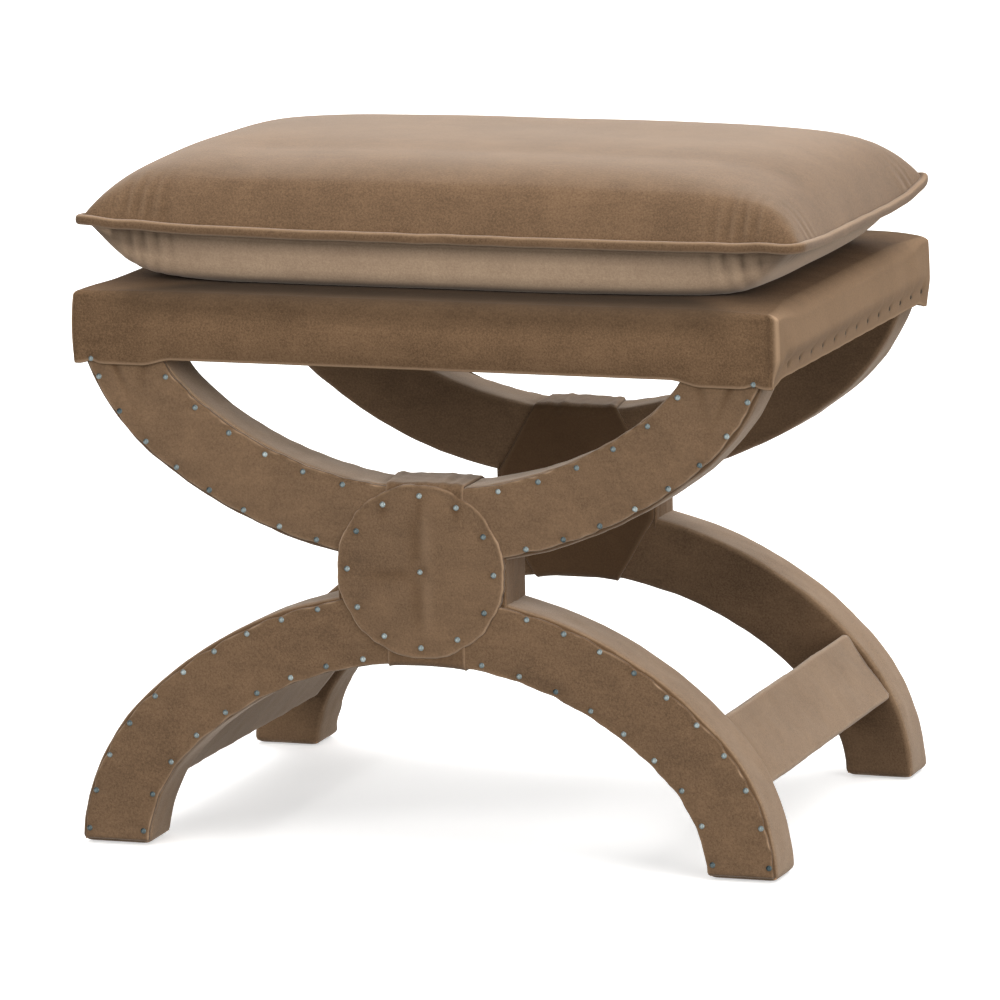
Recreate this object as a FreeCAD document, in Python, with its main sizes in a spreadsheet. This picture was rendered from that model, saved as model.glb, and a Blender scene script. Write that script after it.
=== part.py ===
import FreeCAD, Part
import math
import os
import Sketcher

# Upholstered X-base ottoman: two curved cross frames, two stretchers, a boxed seat and a loose cushion.
# Millimetres, +X along the wide front, +Y to the back, +Z up, origin on the floor under the middle.
# Heights of the curves are those of the middle line x = 0.

DIMENSIONS = {
    # cross frames
    "panel_thickness": 3.3,
    "panel_inset": 1.0,
    "panel_gap": 0.3,
    "core_depth": 49.0,
    "velvet": 2.0,
    # lower arch, sizes over the velvet
    "lower_crown_height": 230.0,
    "lower_crown_radius": 355.0,
    "lower_leg_radius": 182.0,
    "lower_leg_reach": 124.0,
    "lower_width": 61.0,
    # upper bowl, sizes over the velvet
    "upper_height": 165.5,
    "upper_crown_radius": 382.0,
    "upper_arm_radius": 182.0,
    "upper_arm_reach": 125.0,
    "upper_width": 64.5,
    # hub, wrap and medallion
    "hub_gap": 22.5,
    "hub_width": 147.0,
    "wrap_width": 80.0,
    "medallion_rise": 6.25,
    "medallion_diameter": 146.0,
    "medallion_board": 4.0,
    # dowels and screws
    "dowel_diameter": 10.0,
    "dowel_depth": 25.0,
    "dowel_clearance": 0.1,
    "hub_dowel_spacing": 70.0,
    "stretcher_dowel_spacing": 34.0,
    "screw_diameter": 5.0,
    "screw_head_diameter": 10.0,
    "screw_head_height": 3.0,
    "screw_clearance": 0.1,
    "deck_screw_length": 30.0,
    "deck_screw_spacing": 200.0,
    "frame_screw_bite": 35.0,
    "block_screw_inset": 18.0,
    # decorative nails and tacks
    "nail_head_diameter": 5.0,
    "nail_head_height": 1.4,
    "nail_shank_diameter": 1.6,
    "nail_shank_length": 12.0,
    "nail_edge": 6.5,
    "nail_outer_start": 18.0,
    "arm_nail_inner_start": 28.0,
    "leg_nail_inner_start": 12.0,
    "arm_nail_end": 19.0,
    "leg_nail_end": 12.0,
    "medallion_nail_edge": 9.0,
    "corner_nail_edge": 8.7,
    "corner_nail_rise": 4.0,
    "tack_pitch": 35.3,
    "tack_margin": 20.5,
    "tack_rise": 15.0,
    # feet
    "glide_diameter": 24.0,
    "glide_thickness": 1.5,
    # stretchers
    "stretcher_width": 68.0,
    "stretcher_thickness": 48.0,
    "stretcher_setback": 2.0,
    "stretcher_angle": 36.6,
    # seat box
    "apron_overhang": 7.3,
    "apron_depth": 488.0,
    "apron_corner_radius": 3.0,
    "apron_edge_radius": 4.0,
    "rail_height": 34.0,
    "rail_thickness": 25.0,
    "corner_block_leg": 60.0,
    "corner_block_height": 30.0,
    "deck_thickness": 8.0,
    "pad_thickness": 10.0,
    "hem_overhang": 2.7,
    "hem_drop": 6.0,
    "hem_relief": 5.0,
    "hem_corner_gap": 10.0,
    "dust_cloth": 1.0,
    "dust_margin": 2.0,
    # loose cushion, measured from the apron to the outside of the welt
    "cushion_overhang": 11.0,
    "cushion_setback": 44.0,
    "cushion_corner_radius": 14.0,
    "cushion_crown": 61.0,
    "cushion_crown_shoulder": 115.0,
    "cushion_crown_corner": 36.0,
    "cushion_belly": 46.7,
    "cushion_belly_shoulder": 48.0,
    "cushion_belly_corner": 30.0,
    "cushion_rest_gap": 0.3,
    "welt_diameter": 8.0,
    "welt_gap": 0.1,
}

# Nails along one edge of one arm, and tacks along one side of the seat.
UPPER_OUTER_NAILS = 8
UPPER_INNER_NAILS = 6
LOWER_OUTER_NAILS = 10
LOWER_INNER_NAILS = 9
MEDALLION_NAILS = 12
SIDE_TACKS = 12

# Angles up the cushion's quarter-round shoulder where a level is drawn, and the last one is flat.
SHOULDER_ANGLES = (0, 30, 52, 70, 90)

doc = FreeCAD.newDocument("ottoman")
sheet = doc.addObject("Spreadsheet::Sheet", "sizes")
nodes = {}


class Size:
    """A number together with the sheet expression that gives it."""

    def __init__(self, value, text):
        self.value = value
        self.text = text

    @staticmethod
    def of(item):
        return item if isinstance(item, Size) else Size(float(item), repr(float(item)))

    def _join(self, other, sign, value):
        return Size(value, "(" + self.text + sign + other.text + ")")

    def __add__(self, other):
        other = Size.of(other)
        return self._join(other, " + ", self.value + other.value)

    def __sub__(self, other):
        other = Size.of(other)
        return self._join(other, " - ", self.value - other.value)

    def __mul__(self, other):
        other = Size.of(other)
        return self._join(other, " * ", self.value * other.value)

    def __truediv__(self, other):
        other = Size.of(other)
        return self._join(other, " / ", self.value / other.value)

    def __radd__(self, other):
        return Size.of(other) + self

    def __rsub__(self, other):
        return Size.of(other) - self

    def __rmul__(self, other):
        return Size.of(other) * self

    def __neg__(self):
        return Size.of(0) - self


def root(item):
    """Square root of a size."""
    return Size(math.sqrt(item.value), "sqrt(" + item.text + ")")


def cosine(item):
    """Cosine of an angle kept in degrees."""
    return Size(math.cos(math.radians(item.value)), "cos(" + item.text + " * 1 deg)")


def sine(item):
    """Sine of an angle kept in degrees."""
    return Size(math.sin(math.radians(item.value)), "sin(" + item.text + " * 1 deg)")


def fill_sheet():
    """Write each driving dimension into its own cell, under its own alias."""
    for row, (alias, value) in enumerate(DIMENSIONS.items(), 1):
        sheet.set(f"A{row}", str(value))
        sheet.setAlias(f"A{row}", alias)
    doc.recompute()


def size(alias):
    """A driving dimension as a Size."""
    return Size(float(getattr(sheet, alias)), "sizes." + alias)


fill_sheet()
ZERO = Size.of(0)
velvet = size("velvet")
apron_y = size("apron_depth") / 2
face_plane = apron_y - size("hem_overhang")
core_plane = face_plane - size("panel_thickness")
core_back = core_plane - size("core_depth")
sleeve_back = core_back - velvet
wrap_back = sleeve_back - velvet
core_middle = core_plane - size("core_depth") / 2
foot_bottom = size("glide_thickness")
lower_crown = size("lower_crown_height")
upper_crown = lower_crown + size("hub_gap")
rail_bottom = upper_crown + size("upper_height")
rail_top = rail_bottom + size("rail_height")
deck_top = rail_top + size("deck_thickness")
pad_top = deck_top + size("pad_thickness")
seat_top = pad_top + velvet
hem_bottom = rail_bottom - size("hem_drop")
half_hub = size("hub_width") / 2
half_wrap = size("wrap_width") / 2
medallion_z = lower_crown + size("hub_gap") / 2 + size("medallion_rise")
medallion_radius = size("medallion_diameter") / 2
medallion_front = core_plane + size("medallion_board") + velvet

FRONT = FreeCAD.Placement()
REAR = FreeCAD.Placement(FreeCAD.Vector(), FreeCAD.Rotation(FreeCAD.Vector(0, 0, 1), 180))
FRAMES = {"front": FRONT, "rear": REAR}


# Sketches and the solids made from them

class Turn:
    """A round stretch of an outline: its centre, its radius and whether it runs counter-clockwise."""

    def __init__(self, across, up, radius, counter):
        self.across = Size.of(across)
        self.up = Size.of(up)
        self.radius = radius
        self.counter = counter


def origin_plane(body, role):
    return next(item for item in body.Origin.OriginFeatures if item.Role == role)


def bind(sketch, constraint, amount):
    """Add a dimension to a sketch and tie it to the sheet."""
    index = sketch.addConstraint(constraint)
    sketch.setExpression(f"Constraints[{index}]", amount.text)


def place_corner(sketch, edge, end, across, up):
    """Fix a corner by its distances from the sketch's origin."""
    if across is ZERO:
        sketch.addConstraint(Sketcher.Constraint("PointOnObject", edge, end, -2))
    else:
        bind(sketch, Sketcher.Constraint("DistanceX", -1, 1, edge, end, across.value), across)
    if up is ZERO:
        sketch.addConstraint(Sketcher.Constraint("PointOnObject", edge, end, -1))
    else:
        bind(sketch, Sketcher.Constraint("DistanceY", -1, 1, edge, end, up.value), up)


def draw_loop(sketch, outline):
    """Draw a closed outline of corners (across, up, turn); turn is None where the next edge is straight."""
    first = sketch.GeometryCount
    count = len(outline)
    ends = []
    for index, (across, up, turn) in enumerate(outline):
        far_across, far_up, _ = outline[(index + 1) % count]
        start = FreeCAD.Vector(across.value, up.value, 0)
        finish = FreeCAD.Vector(far_across.value, far_up.value, 0)
        if turn is None:
            sketch.addGeometry(Part.LineSegment(start, finish))
            ends.append((1, 2))
            continue
        centre = FreeCAD.Vector(turn.across.value, turn.up.value, 0)
        circle = Part.Circle(centre, FreeCAD.Vector(0, 0, 1), turn.radius.value)
        low, high = (start, finish) if turn.counter else (finish, start)
        low_angle = math.atan2(low.y - centre.y, low.x - centre.x)
        high_angle = math.atan2(high.y - centre.y, high.x - centre.x)
        if high_angle < low_angle:
            high_angle += 2 * math.pi
        sketch.addGeometry(Part.ArcOfCircle(circle, low_angle, high_angle))
        ends.append((1, 2) if turn.counter else (2, 1))
    for index in range(count):
        after = (index + 1) % count
        joint = (first + index, ends[index][1], first + after, ends[after][0])
        sketch.addConstraint(Sketcher.Constraint("Coincident", *joint))
    for index, (across, up, turn) in enumerate(outline):
        place_corner(sketch, first + index, ends[index][0], across, up)
        if turn is not None:
            bind(sketch, Sketcher.Constraint("Radius", first + index, turn.radius.value), turn.radius)


def draw_circle(sketch, up, radius):
    """Draw a circle centred on the sketch's upright axis."""
    centre = FreeCAD.Vector(0, up.value, 0)
    edge = sketch.addGeometry(Part.Circle(centre, FreeCAD.Vector(0, 0, 1), radius.value))
    place_corner(sketch, edge, 3, ZERO, up)
    bind(sketch, Sketcher.Constraint("Radius", edge, radius.value), radius)


def new_sketch(body, name, role, offset):
    """An empty sketch on one of the body's own planes, moved along the plane's normal."""
    sketch = body.newObject("Sketcher::SketchObject", name)
    sketch.AttachmentSupport = [(origin_plane(body, role), "")]
    sketch.MapMode = "FlatFace"
    sketch.setExpression("AttachmentOffset.Base.z", offset.text)
    return sketch


def outline_sketch(body, name, role, offset, *outlines):
    sketch = new_sketch(body, name, role, offset)
    for outline in outlines:
        draw_loop(sketch, outline)
    return sketch


def add_pad(body, sketch, length, backwards):
    pad = body.newObject("PartDesign::Pad", sketch.Name + "_pad")
    pad.Profile = sketch
    pad.setExpression("Length", length.text)
    pad.Reversed = backwards
    return pad


def add_pocket(body, sketch, depth, backwards):
    pocket = body.newObject("PartDesign::Pocket", sketch.Name + "_pocket")
    pocket.Profile = sketch
    pocket.setExpression("Length", depth.text)
    pocket.Reversed = backwards
    return pocket


def new_body(name):
    body = doc.addObject("PartDesign::Body", name)
    body.Label = name
    return body


def prism(name, front, depth, *outlines):
    """A solid with a front view outline, from the plane y = -front backwards by depth."""
    body = new_body(name)
    sketch = outline_sketch(body, name + "_outline", "XZ_Plane", front, *outlines)
    add_pad(body, sketch, depth, True)
    return body


def slab(name, bottom, height, *outlines):
    """A solid with a plan outline, from the level z = bottom upwards by height."""
    body = new_body(name)
    sketch = outline_sketch(body, name + "_plan", "XY_Plane", bottom, *outlines)
    add_pad(body, sketch, height, False)
    return body


def block(name, low, span):
    """A rectangular piece from its lowest corner and its three sides."""
    box = doc.addObject("Part::Box", name)
    box.Label = name
    for prop, amount in zip(("Length", "Width", "Height"), span):
        box.setExpression(prop, amount.text)
    for axis, amount in zip("xyz", low):
        box.setExpression("Placement.Base." + axis, amount.text)
    return box


def turned(name, outline):
    """A solid of revolution about z; the outline is the right half of its section."""
    body = new_body(name)
    sketch = outline_sketch(body, name + "_section", "XZ_Plane", ZERO, outline)
    spin = body.newObject("PartDesign::Revolution", name + "_spin")
    spin.Profile = sketch
    spin.ReferenceAxis = (sketch, ["V_Axis"])
    spin.Angle = 360
    return body


def cut(name, base, tool):
    """The base with the tool's shape taken out of it."""
    result = doc.addObject("Part::Cut", name)
    result.Label = name
    result.Base = base
    result.Tool = tool
    return result


def copies(name, pattern, placements):
    """A group of separate solids: one copy of the pattern piece at each placement."""
    shapes = []
    for placement in placements:
        shape = pattern.Shape.copy()
        shape.Placement = placement
        shapes.append(shape)
    group = doc.addObject("Part::Feature", name)
    group.Label = name
    group.Shape = Part.Compound(shapes)
    group.Placement = FreeCAD.Placement()
    return group


def pointing(position, direction):
    """Placement that turns a piece's own +z to a direction and moves it to a position."""
    turn = FreeCAD.Rotation(FreeCAD.Vector(0, 0, 1), FreeCAD.Vector(*direction))
    return FreeCAD.Placement(FreeCAD.Vector(*position), turn)


def keep(name, item):
    """Record a finished piece under its own name."""
    item.Label = name
    nodes[name] = item
    return item


def rectangle(half_x, half_y):
    return [
        (half_x, -half_y, None),
        (half_x, half_y, None),
        (-half_x, half_y, None),
        (-half_x, -half_y, None),
    ]


def rounded_rectangle(half_x, half_y, radius):
    """Plan outline with round corners, drawn counter-clockwise from the right side."""
    in_x = half_x - radius
    in_y = half_y - radius
    return [
        (half_x, -in_y, None),
        (half_x, in_y, Turn(in_x, in_y, radius, True)),
        (in_x, half_y, None),
        (-in_x, half_y, Turn(-in_x, in_y, radius, True)),
        (-half_x, in_y, None),
        (-half_x, -in_y, Turn(-in_x, -in_y, radius, True)),
        (-in_x, -half_y, None),
        (in_x, -half_y, Turn(in_x, -in_y, radius, True)),
    ]


def mirrored(outline):
    """The same outline on the other side of the upright axis."""
    flipped = []
    count = len(outline)
    for index in range(count):
        across, up, _ = outline[(-index) % count]
        turn = outline[(-index - 1) % count][2]
        if turn is not None:
            turn = Turn(-turn.across, turn.up, turn.radius, turn.counter)
        flipped.append((-across, up, turn))
    return flipped


# Curved members

class Band:
    """A member of constant width: a crown arc about x = 0, then a tangent arc to the end on each side.

    sign is +1 for an arch, whose outer edge is its top, and -1 for a bowl, whose outer edge is its
    underside. An inset is a distance inwards from the outer edge.
    """

    def __init__(self, sign, crown, crown_radius, end_radius, reach, width, end):
        self.sign = sign
        self.crown_radius = crown_radius
        self.end_radius = end_radius
        self.width = width
        self.end = end
        self.centre_up = crown - sign * crown_radius
        self.lead = crown_radius - end_radius
        self.end_across = reach
        self.rise = root(self.lead * self.lead - reach * reach)
        self.end_up = self.centre_up + sign * self.rise

    def height_at(self, inset, across):
        """Height of the crown arc at a distance from the middle."""
        radius = self.crown_radius - inset
        return self.centre_up + self.sign * root(radius * radius - across * across)

    def switch(self, inset):
        """The point where the crown arc runs into the end arc."""
        share = (self.crown_radius - inset) / self.lead
        return share * self.end_across, self.centre_up + self.sign * (share * self.rise)

    def tip(self, inset, level):
        """How far out the end arc is at the level where the member ends."""
        radius = self.end_radius - inset
        drop = level - self.end_up
        return self.end_across + root(radius * radius - drop * drop)

    def crown_turn(self, inset, counter):
        return Turn(ZERO, self.centre_up, self.crown_radius - inset, counter)

    def end_turn(self, inset, counter, side=1):
        return Turn(side * self.end_across, self.end_up, self.end_radius - inset, counter)

    def outline(self, outer, inner, level):
        """The whole member between two insets, cut off level at both ends."""
        ahead = self.sign > 0
        out_x, out_z = self.switch(outer)
        in_x, in_z = self.switch(inner)
        out_tip = self.tip(outer, level)
        in_tip = self.tip(inner, level)
        return [
            (out_tip, level, self.end_turn(outer, ahead)),
            (out_x, out_z, self.crown_turn(outer, ahead)),
            (-out_x, out_z, self.end_turn(outer, ahead, -1)),
            (-out_tip, level, None),
            (-in_tip, level, self.end_turn(inner, not ahead, -1)),
            (-in_x, in_z, self.crown_turn(inner, not ahead)),
            (in_x, in_z, self.end_turn(inner, not ahead)),
            (in_tip, level, None),
        ]

    def notch(self, inset, radius):
        """Where the crown arc crosses a circle about the medallion's middle."""
        arc = self.crown_radius - inset
        gap = medallion_z - self.centre_up
        up = (arc * arc - radius * radius + gap * gap) / (2 * gap) + self.centre_up
        above = up - medallion_z
        return root(radius * radius - above * above), up

    def stations(self, inset, start, end_margin, count):
        """Evenly spaced points along the right half of an edge, from a distance across to near the end."""
        crown_radius = (self.crown_radius - inset).value
        end_radius = (self.end_radius - inset).value
        switch_angle = math.asin(self.end_across.value / self.lead.value)
        first = crown_radius * math.asin(start / crown_radius)
        tip_drop = self.sign * (self.end.value - self.end_up.value)
        tip_angle = math.acos(tip_drop / end_radius)
        last = crown_radius * switch_angle + end_radius * (tip_angle - switch_angle) - end_margin
        points = []
        for index in range(count):
            run = first + (last - first) * index / (count - 1)
            angle = run / crown_radius
            centre = (0.0, self.centre_up.value)
            radius = crown_radius
            if angle > switch_angle:
                angle = switch_angle + (run - crown_radius * switch_angle) / end_radius
                centre = (self.end_across.value, self.end_up.value)
                radius = end_radius
            across = centre[0] + radius * math.sin(angle)
            points.append((across, centre[1] + self.sign * radius * math.cos(angle)))
        return points


lower = Band(
    1,
    lower_crown,
    size("lower_crown_radius"),
    size("lower_leg_radius"),
    size("lower_leg_reach"),
    size("lower_width"),
    foot_bottom,
)
upper = Band(
    -1,
    upper_crown,
    size("upper_crown_radius"),
    size("upper_arm_radius"),
    size("upper_arm_reach"),
    size("upper_width"),
    rail_bottom,
)
arm_outside = upper.tip(ZERO, rail_bottom)
arm_inside = upper.tip(upper.width, rail_bottom)
apron_x = arm_outside + size("apron_overhang")
box_x = apron_x - velvet
box_y = apron_y - velvet
inside_x = box_x - size("rail_thickness")
inside_y = box_y - size("rail_thickness")


# Fasteners

def nail_section():
    """Domed head above z = 0 and a straight shank below it."""
    head = size("nail_head_diameter") / 2
    dome = size("nail_head_height")
    shank = size("nail_shank_diameter") / 2
    length = size("nail_shank_length")
    radius = (head * head + dome * dome) / (2 * dome)
    return [
        (ZERO, -length, None),
        (shank, -length, None),
        (shank, ZERO, None),
        (head, ZERO, Turn(ZERO, dome - radius, radius, True)),
        (ZERO, dome, None),
    ]


def screw_section(length, play):
    """Flush head whose top is at z = 0, and a shank; play widens the section for its hole."""
    head = size("screw_head_diameter") / 2 + play
    shank = size("screw_diameter") / 2 + play
    seat = -(size("screw_head_height") + play)
    return [
        (ZERO, -(length + play), None),
        (shank, -(length + play), None),
        (shank, seat, None),
        (head, seat, None),
        (head, ZERO, None),
        (ZERO, ZERO, None),
    ]


def dowel_section(length, play):
    """Plain pin about z = 0; play widens the section for its hole."""
    radius = size("dowel_diameter") / 2 + play
    half = length / 2 + play
    return [
        (ZERO, -half, None),
        (radius, -half, None),
        (radius, half, None),
        (ZERO, half, None),
    ]


def glide_section():
    """Floor button standing on z = 0 with a nail above it."""
    button = size("glide_diameter") / 2
    shank = size("nail_shank_diameter") / 2
    top = size("glide_thickness")
    point = top + size("nail_shank_length")
    return [
        (ZERO, ZERO, None),
        (button, ZERO, None),
        (button, top, None),
        (shank, top, None),
        (shank, point, None),
        (ZERO, point, None),
    ]


hub_dowel_low = lower.height_at(velvet, size("hub_dowel_spacing") / 2) - size("dowel_depth")
hub_dowel_high = upper.height_at(velvet, size("hub_dowel_spacing") / 2) + size("dowel_depth")
hub_dowel_length = hub_dowel_high - hub_dowel_low
stretcher_dowel_length = 2 * size("dowel_depth")
frame_screw_length = size("rail_height") + size("frame_screw_bite")
block_screw_length = size("corner_block_height") + size("frame_screw_bite")
dowel_play = size("dowel_clearance")
screw_play = size("screw_clearance")

nail = turned("nail_pattern", nail_section())
glide = turned("glide_pattern", glide_section())
hub_dowel = turned("hub_dowel_pattern", dowel_section(hub_dowel_length, ZERO))
hub_dowel_hole = turned("hub_dowel_hole", dowel_section(hub_dowel_length, dowel_play))
bar_dowel = turned("bar_dowel_pattern", dowel_section(stretcher_dowel_length, ZERO))
bar_dowel_hole = turned("bar_dowel_hole", dowel_section(stretcher_dowel_length, dowel_play))
deck_screw = turned("deck_screw_pattern", screw_section(size("deck_screw_length"), ZERO))
deck_screw_hole = turned("deck_screw_hole", screw_section(size("deck_screw_length"), screw_play))
rail_screw = turned("rail_screw_pattern", screw_section(frame_screw_length, ZERO))
rail_screw_hole = turned("rail_screw_hole", screw_section(frame_screw_length, screw_play))
block_screw = turned("block_screw_pattern", screw_section(block_screw_length, ZERO))
block_screw_hole = turned("block_screw_hole", screw_section(block_screw_length, screw_play))
doc.recompute()


# Where the fasteners go

def hub_dowel_places(frame):
    """Two upright dowels through the hub, one each side of the middle."""
    middle = (hub_dowel_low.value + hub_dowel_high.value) / 2
    half = size("hub_dowel_spacing").value / 2
    spots = [(side * half, -core_middle.value, middle) for side in (-1, 1)]
    return [frame.multiply(pointing(spot, (0, 0, 1))) for spot in spots]


angle = size("stretcher_angle")
bar_out = (cosine(angle), sine(angle))
bar_along = (-sine(angle), cosine(angle))
bar_half = size("stretcher_width") / 2
corner_reach = size("lower_leg_radius") - size("stretcher_setback")
bar_face = root(corner_reach * corner_reach - bar_half * bar_half)


def bar_point(out, along):
    """A point of the right stretcher's section, from the leg arc's centre."""
    across = lower.end_across + out * bar_out[0] + along * bar_along[0]
    up = lower.end_up + out * bar_out[1] + along * bar_along[1]
    return across, up


def bar_outline(inset):
    """Section of the right stretcher, inset from its velvet on all four sides."""
    near = bar_face - size("stretcher_thickness") + inset
    far = bar_face - inset
    half = bar_half - inset
    corners = [(far, -half), (far, half), (near, half), (near, -half)]
    return [(*bar_point(out, along), None) for out, along in corners]


def bar_dowel_places():
    """Two dowels at each end of each stretcher, half in the bar and half in the frame."""
    depth = bar_face - size("stretcher_thickness") / 2
    half = size("stretcher_dowel_spacing") / 2
    places = []
    for along in (-half, half):
        across, up = bar_point(depth, along)
        for side in (-1, 1):
            for end in (-1, 1):
                spot = (side * across.value, end * core_back.value, up.value)
                places.append(pointing(spot, (0, 1, 0)))
    return places


def deck_screw_places():
    """Screws through the deck into the middle of each rail."""
    pitch = size("deck_screw_spacing").value
    rail_x = (box_x.value + inside_x.value) / 2
    rail_y = (box_y.value + inside_y.value) / 2
    spots = [(step * pitch, side * rail_y) for step in (-1, 0, 1) for side in (-1, 1)]
    spots += [(side * rail_x, step * pitch / 2) for step in (-1, 1) for side in (-1, 1)]
    return [pointing((x, y, deck_top.value), (0, 0, 1)) for x, y in spots]


CORNERS = [(side, end) for side in (-1, 1) for end in (-1, 1)]


def rail_screw_places():
    """One screw through the front or rear rail into the top of each arm."""
    x = (arm_outside.value + arm_inside.value) / 2
    y = (box_y.value + inside_y.value) / 2
    return [pointing((side * x, end * y, rail_top.value), (0, 0, 1)) for side, end in CORNERS]


def block_screw_places():
    """One screw through each corner block into the top of the arm under it."""
    level = (rail_bottom + size("corner_block_height")).value
    x = (inside_x - size("block_screw_inset")).value
    y = (inside_y - size("block_screw_inset")).value
    return [pointing((side * x, end * y, level), (0, 0, 1)) for side, end in CORNERS]


def arm_nail_places(frame):
    """Two rows of nails along each of a frame's four face panels."""
    edge = size("nail_edge").value
    outer_start = half_hub.value + size("nail_outer_start").value
    arm_start = half_wrap.value + size("arm_nail_inner_start").value
    leg_start = half_wrap.value + size("leg_nail_inner_start").value
    arm_end = size("arm_nail_end").value
    leg_end = size("leg_nail_end").value
    rows = [
        (upper, edge, outer_start, arm_end, UPPER_OUTER_NAILS),
        (upper, upper.width.value - edge, arm_start, arm_end, UPPER_INNER_NAILS),
        (lower, edge, outer_start, leg_end, LOWER_OUTER_NAILS),
        (lower, lower.width.value - edge, leg_start, leg_end, LOWER_INNER_NAILS),
    ]
    places = []
    for band, inset, start, margin, count in rows:
        for across, up in band.stations(inset, start, margin, count):
            for side in (-1, 1):
                spot = (side * across, -face_plane.value, up)
                places.append(frame.multiply(pointing(spot, (0, -1, 0))))
    return places


def medallion_nail_places(frame):
    """A ring of nails near the medallion's rim and one in its middle."""
    ring = (medallion_radius - size("medallion_nail_edge")).value
    spots = [(0.0, medallion_z.value)]
    for index in range(MEDALLION_NAILS):
        bearing = 2 * math.pi * index / MEDALLION_NAILS
        spots.append((ring * math.cos(bearing), medallion_z.value + ring * math.sin(bearing)))
    front = -medallion_front.value
    return [frame.multiply(pointing((x, front, z), (0, -1, 0))) for x, z in spots]


def corner_nail_places():
    """A nail through the seat hem into the top of each arm."""
    x = (arm_outside - size("corner_nail_edge")).value
    y = apron_y.value
    z = (hem_bottom + size("corner_nail_rise")).value
    return [pointing((side * x, end * y, z), (0, end, 0)) for side, end in CORNERS]


def side_tack_places():
    """A row of tacks along the lower edge of the seat's left and right sides."""
    x = apron_x.value
    z = (hem_bottom + size("tack_rise")).value
    first = (apron_y - size("tack_margin")).value
    rows = [first - index * size("tack_pitch").value for index in range(SIDE_TACKS)]
    return [pointing((side * x, y, z), (side, 0, 0)) for y in rows for side in (-1, 1)]


def glide_places():
    """One glide under the middle of each foot."""
    outer = lower.tip(ZERO, foot_bottom)
    inner = lower.tip(lower.width, foot_bottom)
    x = ((outer + inner) / 2).value
    return [pointing((side * x, end * core_middle.value, 0), (0, 0, 1)) for side, end in CORNERS]


bar_holes = copies("bar_dowel_holes", bar_dowel_hole, bar_dowel_places())
rail_holes = copies("rail_screw_holes", rail_screw_hole, rail_screw_places())
block_holes = copies("block_screw_holes", block_screw_hole, block_screw_places())
deck_holes = copies("deck_screw_holes", deck_screw_hole, deck_screw_places())
seat_holes = doc.addObject("Part::Compound", "seat_screw_holes")
seat_holes.Links = [rail_holes, block_holes]


# Cross frames

def panel_outline(band, square_end):
    """Right-hand face panel: from the medallion's rim along the arm to its end."""
    outer = size("panel_inset")
    inner = band.width - size("panel_inset")
    rim = medallion_radius + size("panel_gap")
    away = band.sign < 0
    out_x, out_z = band.switch(outer)
    in_x, in_z = band.switch(inner)
    rim_turn = Turn(ZERO, medallion_z, rim, not away)
    outline = [
        (*band.notch(outer, rim), band.crown_turn(outer, away)),
        (out_x, out_z, band.end_turn(outer, away)),
        (band.tip(outer, band.end), band.end, None),
        (band.tip(inner, band.end), band.end, band.end_turn(inner, not away)),
        (in_x, in_z, band.crown_turn(inner, not away)),
    ]
    if square_end:
        rim_z = medallion_z - root(rim * rim - half_wrap * half_wrap)
        outline.append((half_wrap, band.height_at(inner, half_wrap), None))
        outline.append((half_wrap, rim_z, rim_turn))
    else:
        outline.append((*band.notch(inner, rim), rim_turn))
    return outline


def hub_outline():
    """Block between the two members, hollowed above and below to fit them."""
    half = half_hub - velvet
    top = upper.height_at(velvet, half)
    bottom = lower.height_at(velvet, half)
    return [
        (half, bottom, None),
        (half, top, upper.crown_turn(velvet, False)),
        (-half, top, None),
        (-half, bottom, lower.crown_turn(velvet, False)),
    ]


def sleeve(name, band, tip_inset):
    """Velvet channel round a member's top, back and underside, open at the front."""
    body = prism(name, core_plane, size("core_depth") + velvet, band.outline(ZERO, band.width, band.end))
    hollow = band.outline(velvet, band.width - velvet, band.end + tip_inset)
    sketch = outline_sketch(body, name + "_hollow", "XZ_Plane", core_plane, hollow)
    add_pocket(body, sketch, size("core_depth"), False)
    return body


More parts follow.
